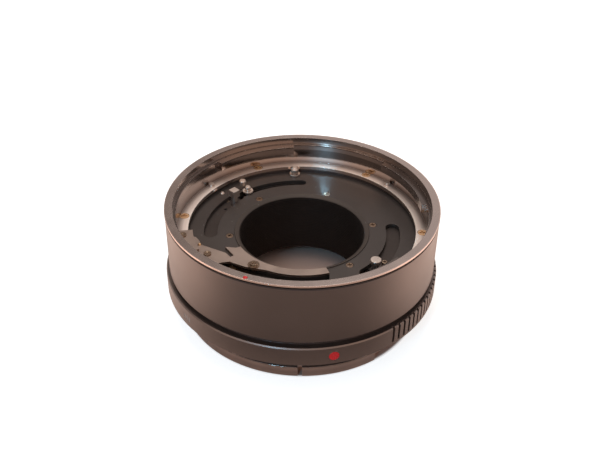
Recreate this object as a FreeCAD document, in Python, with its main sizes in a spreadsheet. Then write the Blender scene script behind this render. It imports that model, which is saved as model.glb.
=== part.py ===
import FreeCAD, Part
import math
import os
import Sketcher

# Automatic extension tube for a camera with a leaf-shutter lens.
# The origin is on the optical axis, in the end plane of the rear bayonet.
# +Z points along the axis, towards the lens. Lengths are millimetres, angles degrees.
# Angles run counter-clockwise from +X, seen from the lens side.

SIZES = {
    # Overall stack along the axis
    "male_length": 8.5,            # rear flange face to the end of the rear bayonet
    "extension": 28.0,             # rear flange face to front flange face
    "rim_radius": 41.5,            # outside of the bright front ring
    # Front bayonet ring
    "rim_lip": 0.9,                # height of the ring's outer lip
    "rim_width": 2.4,              # flat rim, from its outer edge inwards
    "step_depth": 2.3,             # rim to the step above the claws
    "step_width": 0.9,             # step between the rim's mouth and the wall below it
    "ring_wall": 1.4,              # ring wall round that space
    "ledge_depth": 8.8,            # rim to the inner ledge
    "ledge_width": 3.3,
    "ledge_thick": 1.1,
    "claw_thick": 2.7,
    "claw_reach": 1.7,             # claws stand this far out of the wall
    "claw_span": 42.0,             # degrees covered by one claw
    "claw_a": 3.0,                 # where each claw starts
    "claw_b": 95.0,
    "claw_c": 275.0,
    "ledge_screw_inset": 1.3,      # wall to the screws' circle
    "ledge_screw_start": 54.5,
    "ledge_head_radius": 1.5,
    "ledge_head_height": 0.5,
    "fine_thread_radius": 0.7,
    "ledge_screw_length": 3.4,
    "stop_pin_angle": 144.4,
    "second_pin_angle": 40.5,
    "stop_pin_inset": 1.3,         # wall to the circle of the two stop pins
    "lock_inset": 1.0,             # wall to the lock pin
    "stop_pin_radius": 0.9,
    "stop_pin_rise": 0.9,
    "front_dot_angle": 248.7,
    "front_dot_inset": 0.75,
    "front_dot_radius": 0.6,
    "dot_depth": 0.4,
    # Casing
    "rim_overhang": 0.1,           # front ring stands this far over the barrel
    "barrel_edge": 0.3,            # chamfer at the barrel's two outer edges
    "neck_wall": 5.6,              # barrel's wall inside the grip ring
    "groove_height": 1.3,          # dark groove between barrel and grip ring
    "grip_height": 6.6,
    "grip_stand": 1.0,             # grip ring stands this far over the barrel
    "neck_step": 1.2,              # barrel steps in by this much inside the grip ring
    "grip_lift": 0.2,              # grip ring ends this far above the flange face
    "grip_edge": 0.35,
    "groove_start": 309.0,         # first grip groove
    "groove_pitch": 3.05,          # degrees from one grip groove to the next
    "groove_width": 0.8,
    "groove_depth": 0.75,
    "groove_foot": 1.0,            # plain band under the grip grooves
    "rear_dot_angle": 283.0,
    "rear_dot_radius": 1.5,
    "tick_angle": 216.5,
    "tick_pitch": 1.6,
    "tick_width": 0.35,
    "tick_height": 2.0,
    "tick_depth": 0.15,
    "grub_angle": 60.0,
    "grub_pitch": 50.0,
    "grub_radius": 0.9,
    "grub_bite": 0.4,              # screw's depth in the barrel's neck
    "grub_sink": 0.4,              # its outer end under the grip ring's face
    "grub_socket": 0.7,
    # Front plate and baffle tube
    "plate_gap": 1.1,              # under the ledge to the top of the front plate
    "plate_thick": 1.2,
    "plate_lap": 0.6,              # front plate reaches this far under the ledge
    "tube_wall": 1.5,              # baffle tube's wall
    "lip_rise": 0.25,              # lip stands this far over the front plate
    "lip_slope": 0.75,             # height of the lip's sloped edge
    "tube_drop": 3.3,              # rear flange face to the lower end of the tube
    "hub_width": 4.4,              # tube's outside to the bore of the rings
    "plate_screw_offset": 1.6,     # tube's outside to the screws' circle
    "plate_screw_start": 9.0,
    "plate_head_radius": 1.15,
    "plate_head_height": 0.5,
    "plate_screw_length": 3.0,
    # Slots in the front plate
    "drive_slot_inset": 3.3,       # drive ring's edge to the middle of its slots
    "drive_slot_half": 2.1,
    "right_slot_end": 4.0,
    "right_slot_length": 52.0,
    "left_slot_end": 185.2,
    "left_slot_length": 46.0,
    "post_slot_inset": 3.5,
    "post_slot_half": 1.45,
    "post_slot_end": 90.5,
    "post_slot_length": 43.5,
    "window_offset": 2.9,          # tube's outside to the large front opening
    "window_margin": 2.5,          # front plate's edge to that opening
    "window_start": 216.0,
    "window_edge": 8.1,            # straight right-hand end, measured from the axis
    # Moving rings under the front plate
    "ring_space": 3.1,             # barrel's bore to the drive ring
    "drive_width": 6.3,
    "drive_thick": 1.4,
    "drive_start": -42.0,
    "drive_end": 200.0,
    "drive_relief_start": 50.0,    # cut-back that lets the release post pass
    "drive_relief_end": 137.0,
    "relief_inset": 2.3,
    "spacer_thick": 0.5,
    "spacer_width": 1.4,
    "release_width": 3.9,
    "release_thick": 1.3,
    "keeper_thick": 1.2,
    "keeper_lap": 1.0,             # keeper reaches this far under the rings
    "face_gap": 0.1,               # running gap between flat faces
    # Coupling pins on the moving rings
    "round_pin_angle": -39.0,
    "round_pin_inset": 0.3,        # inwards of the slot's middle
    "round_pin_radius": 1.05,
    "round_pin_head": 1.65,
    "round_pin_edge": 0.16,
    "round_pin_rise": 2.3,
    "square_pin_angle": 144.0,
    "square_pin_inset": 0.9,
    "square_pin_side": 2.5,
    "square_pin_turn": -9.0,       # head's turn from the radius
    "square_pin_rise": 4.2,
    "square_pin_height": 2.4,
    "ring_screw_angle": -32.0,
    "ring_screw_offset": 0.7,      # outwards of the slot's middle
    "ring_screw_sink": 0.2,        # its head under the front plate's face
    "ring_hole_angle": 152.5,
    "ring_hole_inset": 0.2,
    "ring_hole_radius": 0.45,
    "post_angle": 130.2,
    "post_radius": 0.7,
    "post_flange": 1.75,
    "post_tip": 0.95,
    "post_flange_thick": 0.5,
    "post_waist": 0.66,
    "post_waist_height": 0.4,
    "post_edge": 0.32,
    "post_rise": 2.4,
    # Forks that take the camera's coupling pins
    "fork_leg_inset": 0.2,         # drive ring's edge to the fork's leg
    "fork_leg_thick": 1.9,
    "fork_reach": 3.8,             # foot's reach inwards of its leg
    "fork_drop": 1.1,              # rear flange face to the end of the forks
    "fork_foot_thick": 2.0,
    "drive_fork_width": 5.0,
    "drive_fork_notch": 3.0,
    "release_leg_inset": 0.8,      # release ring's edge to its fork's leg
    "release_leg_thick": 1.8,
    "release_fork_reach": 2.6,
    "release_slot_room": 1.1,      # rear plate's slot inwards of the leg
    "release_fork_width": 4.0,
    "release_fork_notch": 2.0,
    "notch_end_gap": 0.3,
    # Fixed pins on the front plate
    "guide_pin_angle": 129.5,
    "guide_pin_inset": 4.1,        # front plate's edge to the pin
    "guide_pin_radius": 1.15,
    "guide_pin_rise": 2.9,
    "dome_pin_angle": 94.8,
    "dome_pin_inset": 2.5,
    "dome_pin_radius": 1.3,
    "dome_pin_flange": 1.75,
    "dome_flange_thick": 0.7,
    "dome_pin_waist": 0.78,
    "dome_waist_height": 0.38,
    "dome_pin_rise": 3.0,
    "rivet_angle": 142.2,
    "rivet_inset": 2.0,
    "rivet_radius": 0.8,
    "rivet_rise": 0.5,
    # Grey bracket
    "bracket_thick": 0.8,
    "strip_width": 2.9,            # tube's outside to the strip's outer edge
    "strip_start": 207.0,
    "strip_setback": 2.0,          # degrees from the strip's start under the lobe
    "strip_end": 290.0,
    "pad_start": 188.5,
    "pad_end": 206.0,
    "pad_overhang": 1.4,           # web stands this far inwards of the ledge
    "pad_inset": 0.3,              # wall to the pad
    "pad_screw_angle": 192.6,
    "pad_screw_inset": 1.6,
    "lobe_screw_angle": 207.1,
    "lobe_screw_inset": 4.3,       # front plate's edge to the screw
    "shoulder_angle": 234.2,
    "shoulder_head": 1.75,
    "washer_thick": 0.3,
    "bracket_head_height": 0.4,
    "bracket_pip_angle": 197.4,
    "bracket_pip_inset": 3.4,
    "bracket_pip_radius": 0.6,
    "bracket_pip_tip": 0.27,
    # Bayonet lock
    "lock_angle": 270.0,
    "lock_pin_radius": 1.0,
    "lock_pin_rise": 1.2,
    "lock_travel": 1.5,
    "cross_pin_rise": 1.2,         # lock pin's foot to its cross pin
    "cross_pin_radius": 0.5,
    "cross_pin_reach": 1.5,        # cross pin's end inwards of the barrel's bore
    "lock_spring_room": 5.6,       # lock pin's foot to the floor of its spring's hole
    "lock_coil_radius": 0.7,
    "lock_wire_radius": 0.14,
    "lock_coil_turns": 6,
    # Unlocking ring and its thumb piece
    "unlock_turn": 8.0,            # degrees that the unlocking ring turns
    "unlock_band": 2.7,            # barrel's bore to the ring's inner edge
    "unlock_depth": 16.8,          # rim to the ring's lower face
    "unlock_thick": 1.2,
    "cam_wall": 1.0,
    "cam_rise": 1.8,               # cross pin to the top of the cam wall
    "cam_margin": 3.5,
    "clip_thick": 0.6,
    "clip_reach": 1.2,
    "clip_bite": 0.6,              # clip's depth in its groove
    "clip_start": 286.0,
    "clip_span": 322.0,
    "thumb_angle": 92.0,
    "thumb_width": 10.0,
    "thumb_height": 5.0,
    "thumb_thick": 1.5,
    "thumb_arm_width": 6.0,
    "thumb_lap": 1.7,
    "thumb_slot_margin": 1.5,      # degrees of room beside the arm
    "thumb_ridge": 0.5,
    "thumb_groove_width": 0.7,
    "thumb_ridges": 5,
    # Rear plate, pillars and rear bayonet
    "flange_thick": 1.5,
    "rear_plate_thick": 1.2,
    "rear_seat_wall": 1.9,         # barrel's wall round the rear plate
    "flange_lap": 0.6,             # rear bayonet's flange beyond the rear plate
    "male_clearance": 0.4,         # between a front bayonet's claws and a rear bayonet
    "male_wall": 3.1,
    "male_edge": 0.7,
    "lug_reach": 1.5,
    "lug_thick": 3.3,
    "lug_gap": 0.05,
    "lug_a_start": 354.0,
    "lug_a_span": 43.0,
    "lug_b_start": 84.0,
    "lug_b_span": 43.0,
    "lug_c_start": 271.0,
    "lug_c_span": 35.0,
    "lug_d_start": 204.0,
    "lug_d_span": 65.0,
    "lock_notch_height": 2.4,
    "lock_notch_offset": 0.2,      # notch is centred this far outside the bayonet
    "rear_screw_inset": 1.5,
    "rear_screw_start": 30.0,
    "rear_head_radius": 1.0,
    "rear_screw_length": 5.5,
    "pillar_offset": 2.4,          # tube's outside to the pillars' circle
    "pillar_radius": 1.8,
    "pillar_start": 30.0,
    "pillar_screw_bite": 1.8,      # length of the screws inside the hub
    "pillar_head_radius": 1.4,
    "sweep_gap": 1.2,              # rear plate slot beyond a fork, each way
    # Travels of the two coupling rings
    "drive_turn": 38.0,
    "release_turn": 38.0,
    # Return spring of the release ring
    "return_coil_radius": 1.0,
    "return_wire_radius": 0.2,
    "return_coil_turns": 15,
    "return_spring_drop": 2.4,     # keeper to the spring's own axis
    "spring_post_angle": 172.0,
    "spring_post_radius": 0.6,
    "spring_post_tail": 1.0,       # post's end beyond the spring's axis
    # Fits
    "slip_gap": 0.05,              # parts pushed together
    "running_gap": 0.06,           # shafts that move in holes
    "cam_gap": 0.16,               # cross pin in the sloped cam slot
    "clear_gap": 0.3,              # parts that pass each other
}

COPIES = 6
PILLARS = 4
GRIP_GROOVES = 34
GRUB_SCREWS = 3
TICKS = 3
QUARTER = 90.0
FULL_TURN = 360.0
# A cut runs this far past the face that it opens
OVER = 1.0
# Cross recess of a screw: its span per head radius, its depth per head height
RECESS_SPAN = 1.3
RECESS_DEPTH = 0.6
# Corners of the bracket's lobe: millimetres from a radius, degrees from an angle
LOBE_BY_PAD = ((-0.8, 1.5), (-1.6, 4.5), (-1.9, 9.0), (-4.2, 13.8))
LOBE_BY_STRIP = ((2.5, 4.0), (2.3, 9.5), (1.1, 9.2), (1.5, -2.4), (-1.5, 2.3))
LOBE_UNDER_LIP = (5.0, 14.0, 24.0, 34.0)
LOBE_LIP_GAP = 0.3
LOBE_OUTSIDE = ((-0.3, 43.0), (0.3, 35.0), (2.1, 24.0), (3.8, 13.0))
LOBE_CORNER = (-3.5, 2.0)
LOBE_EDGE_TURN = -0.5
X_AXIS = FreeCAD.Vector(1, 0, 0)
Y_AXIS = FreeCAD.Vector(0, 1, 0)
Z_AXIS = FreeCAD.Vector(0, 0, 1)


class Size(float):
    """A number that also knows its expression in the sheet of sizes."""

    def __new__(cls, value, text):
        made = super().__new__(cls, value)
        made.text = text
        return made

    def __add__(self, other):
        return Size(float(self) + float(other), f"({self.text} + {text_of(other)})")

    def __radd__(self, other):
        return Size(float(other) + float(self), f"({text_of(other)} + {self.text})")

    def __sub__(self, other):
        return Size(float(self) - float(other), f"({self.text} - {text_of(other)})")

    def __rsub__(self, other):
        return Size(float(other) - float(self), f"({text_of(other)} - {self.text})")

    def __mul__(self, other):
        return Size(float(self) * float(other), f"({self.text} * {text_of(other)})")

    def __rmul__(self, other):
        return Size(float(other) * float(self), f"({text_of(other)} * {self.text})")

    def __truediv__(self, other):
        return Size(float(self) / float(other), f"({self.text} / {text_of(other)})")

    def __neg__(self):
        return Size(-float(self), f"(-1 * {self.text})")


def text_of(value):
    """The sheet expression of a size, or a plain number in brackets."""
    if isinstance(value, Size):
        return value.text
    return f"({float(value)!r})"


def cosine(angle):
    return Size(math.cos(math.radians(angle)), f"cos({text_of(angle)})")


def sine(angle):
    return Size(math.sin(math.radians(angle)), f"sin({text_of(angle)})")


TO_DEGREES = Size(math.degrees(1), "(180 / pi)")
TO_RADIANS = Size(math.radians(1), "(pi / 180)")


class Names:
    """The sizes by name."""


doc = FreeCAD.newDocument("extension_tube")
sheet = doc.addObject("Spreadsheet::Sheet", "Sizes")
s = Names()
for row, (size_name, size_value) in enumerate(SIZES.items(), start=1):
    sheet.set(f"A{row}", size_name)
    sheet.set(f"B{row}", str(size_value))
    sheet.setAlias(f"B{row}", size_name)
    setattr(s, size_name, Size(size_value, f"Sizes.{size_name}"))
doc.recompute()

# Radii of the front ring and the casing, from the rim inwards
rim_inner = s.rim_radius - s.rim_width
chamber_radius = rim_inner - s.step_width
ring_outer = chamber_radius + s.ring_wall
ledge_inner = chamber_radius - s.ledge_width
claw_radius = chamber_radius - s.claw_reach
ledge_screw_circle = chamber_radius - s.ledge_screw_inset
lock_circle = chamber_radius - s.lock_inset
stop_pin_circle = chamber_radius - s.stop_pin_inset
front_dot_circle = s.rim_radius - s.front_dot_inset
barrel_radius = s.rim_radius - s.rim_overhang
grip_radius = barrel_radius + s.grip_stand
neck_radius = barrel_radius - s.neck_step
barrel_bore = neck_radius - s.neck_wall
ledge_hole_radius = s.fine_thread_radius + s.slip_gap
lock_hole_radius = s.lock_pin_radius + s.running_gap

# Radii of the rear bayonet and its plate
rear_plate_radius = neck_radius - s.rear_seat_wall
flange_radius = rear_plate_radius + s.flange_lap
rear_screw_circle = flange_radius - s.rear_screw_inset
male_radius = claw_radius - s.male_clearance
male_bore = male_radius - s.male_wall
lug_radius = male_radius + s.lug_reach

# Radii of the lens lock
unlock_outer = barrel_bore - s.running_gap
unlock_inner = barrel_bore - s.unlock_band
clip_inner = barrel_bore - s.clip_reach
clip_outer = barrel_bore + s.clip_bite
cross_pin_inner = barrel_bore - s.cross_pin_reach

# Radii of the coupling rings and of the tube that they turn on
drive_radius = barrel_bore - s.ring_space
ring_bore = drive_radius - s.drive_width
hub_radius = ring_bore - s.slip_gap
lip_radius = ring_bore - s.hub_width
throat_radius = lip_radius - s.tube_wall
drive_slot_circle = drive_radius - s.drive_slot_inset
post_slot_circle = drive_radius - s.post_slot_inset
drive_relief_radius = drive_radius - s.relief_inset
round_pin_circle = drive_slot_circle - s.round_pin_inset
square_pin_circle = drive_slot_circle - s.square_pin_inset
ring_screw_circle = drive_slot_circle + s.ring_screw_offset
ring_hole_circle = drive_slot_circle - s.ring_hole_inset
spacer_radius = ring_bore + s.spacer_width
release_radius = ring_bore + s.release_width
keeper_radius = ring_bore + s.keeper_lap
pillar_circle = lip_radius + s.pillar_offset
fork_leg_outer = drive_radius - s.fork_leg_inset
fork_leg_inner = fork_leg_outer - s.fork_leg_thick
fork_inner = fork_leg_inner - s.fork_reach
release_leg_outer = release_radius - s.release_leg_inset
release_leg_inner = release_leg_outer - s.release_leg_thick
release_fork_inner = release_leg_inner - s.release_fork_reach

# Radii on the front plate
plate_radius = ledge_inner + s.plate_lap
plate_screw_circle = lip_radius + s.plate_screw_offset
window_inner = lip_radius + s.window_offset
window_outer = plate_radius - s.window_margin
guide_pin_circle = plate_radius - s.guide_pin_inset
dome_pin_circle = plate_radius - s.dome_pin_inset
rivet_circle = plate_radius - s.rivet_inset
strip_outer = lip_radius + s.strip_width
pad_inner = ledge_inner - s.pad_overhang
pad_outer = chamber_radius - s.pad_inset
pad_screw_circle = chamber_radius - s.pad_screw_inset
lobe_screw_circle = plate_radius - s.lobe_screw_inset
bracket_pip_circle = plate_radius - s.bracket_pip_inset

# Heights: the front parts hang from the rim, the rear ones from the rear flange face
flange_z = s.male_length
rim_z = s.male_length + s.extension
ledge_z = rim_z - s.ledge_depth
ledge_under_z = ledge_z - s.ledge_thick
claw_low_z = rim_z - s.step_depth - s.claw_thick
plate_z = ledge_under_z - s.plate_gap
plate_under_z = plate_z - s.plate_thick
drive_top_z = plate_under_z - s.face_gap
drive_low_z = drive_top_z - s.drive_thick
spacer_low_z = drive_low_z - s.face_gap - s.spacer_thick
release_top_z = spacer_low_z - s.face_gap
release_low_z = release_top_z - s.release_thick
hub_low_z = release_low_z - s.face_gap
keeper_low_z = hub_low_z - s.keeper_thick
return_spring_z = keeper_low_z - s.return_spring_drop
grip_top_z = flange_z + s.grip_height
mid_grip_z = flange_z + s.grip_height / 2
barrel_foot_z = grip_top_z + s.groove_height
rear_plate_low_z = flange_z + s.flange_thick
rear_plate_top_z = rear_plate_low_z + s.rear_plate_thick
tube_foot_z = flange_z - s.tube_drop
fork_foot_low_z = flange_z - s.fork_drop
unlock_low_z = rim_z - s.unlock_depth
unlock_top_z = unlock_low_z + s.unlock_thick
lock_pin_foot_z = unlock_top_z + s.clear_gap
cross_pin_z = lock_pin_foot_z + s.cross_pin_rise
spring_seat_z = lock_pin_foot_z - s.lock_spring_room

PARTS = []


def bind(item, prop, value):
    """Give one property its value, tied to the sheet where the value is a Size."""
    setattr(item, prop, float(value))
    if isinstance(value, Size):
        item.setExpression(prop, value.text)


def place(item, x, y, z, axis=Z_AXIS, angle=0.0):
    """Place an object, each number tied to the sheet where it is a Size."""
    base = FreeCAD.Vector(float(x), float(y), float(z))
    item.Placement = FreeCAD.Placement(base, FreeCAD.Rotation(axis, float(angle)))
    for letter, value in (("x", x), ("y", y), ("z", z)):
        if isinstance(value, Size):
            item.setExpression(f"Placement.Base.{letter}", value.text)
    if isinstance(angle, Size):
        item.setExpression("Placement.Rotation.Angle", angle.text)
    return item


def finished(item, label):
    """Keep an object as one finished sub-part under its own label."""
    item.Label = label
    PARTS.append(item)
    return item


def polar(radius, angle):
    return radius * cosine(angle), radius * sine(angle)


def cylinder(radius, low, high, at=0.0, angle=0.0, sweep=None):
    """An upright cylinder, or a wedge of one, at a distance from the axis."""
    item = doc.addObject("Part::Cylinder", "cylinder")
    bind(item, "Radius", radius)
    bind(item, "Height", high - low)
    if sweep is not None:
        bind(item, "Angle", sweep)
        return place(item, 0, 0, low, Z_AXIS, angle)
    if isinstance(at, Size) or at:
        x, y = polar(at, angle)
        return place(item, x, y, low)
    return place(item, 0, 0, low)


def cone(low_radius, high_radius, low, high, at=0.0, angle=0.0):
    """An upright cone at a distance from the axis."""
    item = doc.addObject("Part::Cone", "cone")
    bind(item, "Radius1", low_radius)
    bind(item, "Radius2", high_radius)
    bind(item, "Height", high - low)
    x, y = polar(at, angle)
    return place(item, x, y, low)


def block(inner, outer, width, low, high, angle):
    """A box that lies along a radius, centred on it."""
    item = doc.addObject("Part::Box", "block")
    bind(item, "Length", outer - inner)
    bind(item, "Width", width)
    bind(item, "Height", high - low)
    x = inner * cosine(angle) + width / 2 * sine(angle)
    y = inner * sine(angle) - width / 2 * cosine(angle)
    return place(item, x, y, low, Z_AXIS, angle)


def fuse(*items):
    item = doc.addObject("Part::MultiFuse", "fuse")
    item.Shapes = list(items)
    return item


def cut(base, *tools):
    """One object less all the tools."""
    item = doc.addObject("Part::Cut", "cut")
    item.Base = base
    item.Tool = tools[0] if len(tools) == 1 else group(tools)
    return item


def common(first, second):
    item = doc.addObject("Part::Common", "common")
    item.Base = first
    item.Tool = second
    return item


def group(items):
    item = doc.addObject("Part::Compound", "group")
    item.Links = list(items)
    return item


def sector(inner, outer, start, sweep, low, high):
    """Part of a flat ring."""
    wedge = cylinder(outer, low, high, angle=start, sweep=sweep)
    return cut(wedge, cylinder(inner, low, high))


def tube(inner, outer, low, high):
    return cut(cylinder(outer, low, high), cylinder(inner, low, high))


def arc_slot(circle, half, start, sweep, low, high):
    """A curved slot with round ends, whose end centres are start and start + sweep."""
    return fuse(
        sector(circle - half, circle + half, start, sweep, low, high),
        cylinder(half, low, high, at=circle, angle=start),
        cylinder(half, low, high, at=circle, angle=start + sweep),
    )


def radial_rod(radius, inner, outer, height, angle):
    """A rod that lies along a radius: made along X, then turned about the axis."""
    rod = doc.addObject("Part::Cylinder", "rod")
    bind(rod, "Radius", radius)
    bind(rod, "Height", outer - inner)
    place(rod, inner, 0, height, Y_AXIS, QUARTER)
    return place(group([rod]), 0, 0, 0, Z_AXIS, angle)


def origin_part(body, role):
    for feature in body.Origin.OriginFeatures:
        if feature.Role == role:
            return feature
    raise LookupError(role)


def draw(body, plane, points):
    """A closed outline on one of a body's planes, each corner tied to the sheet."""
    sketch = body.newObject("Sketcher::SketchObject", "outline")
    sketch.AttachmentSupport = [(origin_part(body, plane), "")]
    sketch.MapMode = "FlatFace"
    count = len(points)
    for index in range(count):
        start = FreeCAD.Vector(float(points[index][0]), float(points[index][1]), 0)
        following = points[(index + 1) % count]
        end = FreeCAD.Vector(float(following[0]), float(following[1]), 0)
        sketch.addGeometry(Part.LineSegment(start, end), False)
    for index in range(count):
        sketch.addConstraint(Sketcher.Constraint("Coincident", index, 2, (index + 1) % count, 1))
    for index, point in enumerate(points):
        for kind, value in (("DistanceX", point[0]), ("DistanceY", point[1])):
            number = sketch.addConstraint(Sketcher.Constraint(kind, -1, 1, index, 1, float(value)))
            if isinstance(value, Size):
                sketch.setExpression(f"Constraints[{number}]", value.text)
    return sketch


def turned(points):
    """A lathe part: its half section turned about the optical axis."""
    body = doc.addObject("PartDesign::Body", "turned")
    sketch = draw(body, "XZ_Plane", points)
    feature = body.newObject("PartDesign::Revolution", "revolution")
    feature.Profile = sketch
    feature.ReferenceAxis = (sketch, ["V_Axis"])
    feature.Angle = FULL_TURN
    body.Tip = feature
    return body


def plate_of(points, low, thickness):
    """A flat plate cut to an outline."""
    body = doc.addObject("PartDesign::Body", "flat")
    sketch = draw(body, "XY_Plane", points)
    feature = body.newObject("PartDesign::Pad", "pad")
    feature.Profile = sketch
    bind(feature, "Length", thickness)
    body.Tip = feature
    return place(body, 0, 0, low)


def cross_recess(at, angle, top, size, depth):
    """The cross slot in a screw's head, as two short bars."""
    half = size / 2
    return [
        block(at - half, at + half, size / 4, top - depth, top + depth, angle),
        block(at - size / 8, at + size / 8, size, top - depth, top + depth, angle),
    ]


def screw(at, angle, top, head_radius, head_height, shank_radius, length):
    """A flat-headed cross screw that points down from its head's top face."""
    head = cylinder(head_radius, top - head_height, top, at=at, angle=angle)
    shank = cylinder(shank_radius, top - length, top - head_height, at=at, angle=angle)
    bars = cross_recess(at, angle, top, head_radius * RECESS_SPAN,
                        head_height * RECESS_DEPTH)
    return cut(fuse(head, shank), *bars)


def screw_places(angle_start):
    return [angle_start + FULL_TURN / COPIES * index for index in range(COPIES)]


def make_front_mount_ring():
    """Bright ring with three claws, a step and a ledge that is screwed down."""
    profile = [
        (rim_inner, rim_z),
        (s.rim_radius, rim_z),
        (s.rim_radius, rim_z - s.rim_lip),
        (ring_outer, rim_z - s.rim_lip),
        (ring_outer, ledge_under_z),
        (ledge_inner, ledge_under_z),
        (ledge_inner, ledge_z),
        (chamber_radius, ledge_z),
        (chamber_radius, rim_z - s.step_depth),
        (rim_inner, rim_z - s.step_depth),
    ]
    claws = []
    for start in (s.claw_a, s.claw_b, s.claw_c):
        outer = chamber_radius + s.ring_wall / 2
        top = rim_z - s.step_depth
        claws.append(sector(claw_radius, outer, start, s.claw_span, claw_low_z, top))
    holes = []
    for angle in screw_places(s.ledge_screw_start):
        head = s.ledge_head_radius + s.slip_gap
        sunk = ledge_z - s.ledge_head_height - s.slip_gap
        holes.append(cylinder(head, sunk, ledge_z + OVER, at=ledge_screw_circle, angle=angle))
        holes.append(cylinder(ledge_hole_radius, ledge_under_z - OVER, ledge_z,
                              at=ledge_screw_circle, angle=angle))
    for angle in (s.stop_pin_angle, s.second_pin_angle):
        holes.append(cylinder(s.stop_pin_radius + s.slip_gap, ledge_under_z - OVER, ledge_z + OVER,
                              at=stop_pin_circle, angle=angle))
    holes.append(cylinder(lock_hole_radius, ledge_under_z - OVER, ledge_z + OVER,
                          at=lock_circle, angle=s.lock_angle))
    holes.append(cylinder(ledge_hole_radius, ledge_under_z - OVER, ledge_z + OVER,
                          at=pad_screw_circle, angle=s.pad_screw_angle))
    holes.append(cylinder(s.front_dot_radius + s.slip_gap, rim_z - s.dot_depth, rim_z + OVER,
                          at=front_dot_circle, angle=s.front_dot_angle))
    finished(cut(fuse(turned(profile), *claws), *holes), "front_mount_ring")


def make_front_mount_fittings():
    """Screws in the ledge, the two fixed stop pins and the red insertion dot."""
    screws = []
    for angle in screw_places(s.ledge_screw_start):
        screws.append(screw(ledge_screw_circle, angle, ledge_z, s.ledge_head_radius,
                            s.ledge_head_height, s.fine_thread_radius, s.ledge_screw_length))
    finished(group(screws), "front_mount_screws")
    pins = []
    for angle in (s.stop_pin_angle, s.second_pin_angle):
        pins.append(cylinder(s.stop_pin_radius, ledge_under_z - s.ledge_thick,
                             ledge_z + s.stop_pin_rise, at=stop_pin_circle, angle=angle))
    finished(group(pins), "mount_stop_pin")
    dot = cylinder(s.front_dot_radius, rim_z - s.dot_depth, rim_z,
                   at=front_dot_circle, angle=s.front_dot_angle)
    finished(dot, "front_index_dot")


def make_outer_barrel():
    """Black casing with the seats of the front ring, front plate and rear plate."""
    seat = ring_outer + s.slip_gap
    plate_seat = plate_radius + s.slip_gap
    rear_seat = rear_plate_radius + s.slip_gap
    top = rim_z - s.rim_lip
    profile = [
        (seat, top),
        (barrel_radius - s.barrel_edge, top),
        (barrel_radius, top - s.barrel_edge),
        (barrel_radius, barrel_foot_z + s.barrel_edge),
        (barrel_radius - s.barrel_edge, barrel_foot_z),
        (neck_radius, barrel_foot_z),
        (neck_radius, rear_plate_low_z),
        (rear_seat, rear_plate_low_z),
        (rear_seat, rear_plate_top_z),
        (barrel_bore, rear_plate_top_z),
        (barrel_bore, plate_under_z),
        (plate_seat, plate_under_z),
        (plate_seat, ledge_under_z),
        (seat, ledge_under_z),
    ]
    holes = []
    for angle in screw_places(s.ledge_screw_start):
        foot = ledge_z - s.ledge_screw_length - s.clear_gap
        holes.append(cylinder(ledge_hole_radius, foot, ledge_under_z + OVER,
                              at=ledge_screw_circle, angle=angle))
    for angle in (s.stop_pin_angle, s.second_pin_angle):
        holes.append(cylinder(s.stop_pin_radius + s.slip_gap, ledge_under_z - s.ledge_thick,
                              ledge_under_z + OVER, at=stop_pin_circle, angle=angle))
    holes.append(cylinder(ledge_hole_radius, ledge_under_z - s.ledge_screw_length,
                          ledge_under_z + OVER, at=pad_screw_circle, angle=s.pad_screw_angle))
    for angle in screw_places(s.rear_screw_start):
        holes.append(cylinder(ledge_hole_radius, rear_plate_low_z - OVER,
                              flange_z + s.rear_screw_length + s.clear_gap,
                              at=rear_screw_circle, angle=angle))
    # Lock pin, its spring, and the upright window that its cross pin slides in
    holes.append(cylinder(lock_hole_radius, spring_seat_z, ledge_under_z + OVER,
                          at=lock_circle, angle=s.lock_angle))
    reach = s.cross_pin_radius + s.running_gap
    holes.append(block(barrel_bore - OVER, lock_circle, reach * 2,
                       cross_pin_z - s.lock_travel - reach - s.face_gap,
                       cross_pin_z + reach, s.lock_angle))
    # Grooves of the two clips and the slot that the thumb piece comes out through
    clip_groove = clip_outer + s.slip_gap
    for low in (clip_low_z(), clip_high_z()):
        holes.append(cylinder(clip_groove, low - s.slip_gap, low + s.clip_thick + s.slip_gap))
    arm = TO_DEGREES * (s.thumb_arm_width / 2) / barrel_bore
    margin = arm + s.thumb_slot_margin
    holes.append(sector(barrel_bore - OVER, barrel_radius + OVER, s.thumb_angle - margin,
                        s.unlock_turn + margin * 2, lap_z() - s.clear_gap,
                        unlock_top_z + s.clear_gap))
    for index in range(GRUB_SCREWS):
        holes.append(radial_rod(s.grub_radius + s.slip_gap,
                                neck_radius - s.grub_bite - s.face_gap,
                                neck_radius + s.grub_radius, mid_grip_z,
                                s.grub_angle + s.grub_pitch * index))
    finished(cut(turned(profile), *holes), "outer_barrel")


def clip_low_z():
    """Lower face of the clip under the unlocking ring."""
    return unlock_low_z - s.face_gap - s.clip_thick


def clip_high_z():
    """Lower face of the clip over the unlocking ring."""
    return unlock_top_z + s.face_gap


def lap_z():
    """Face where the thumb piece's arm lies on the unlocking ring."""
    return unlock_low_z + s.unlock_thick / 2


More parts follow.
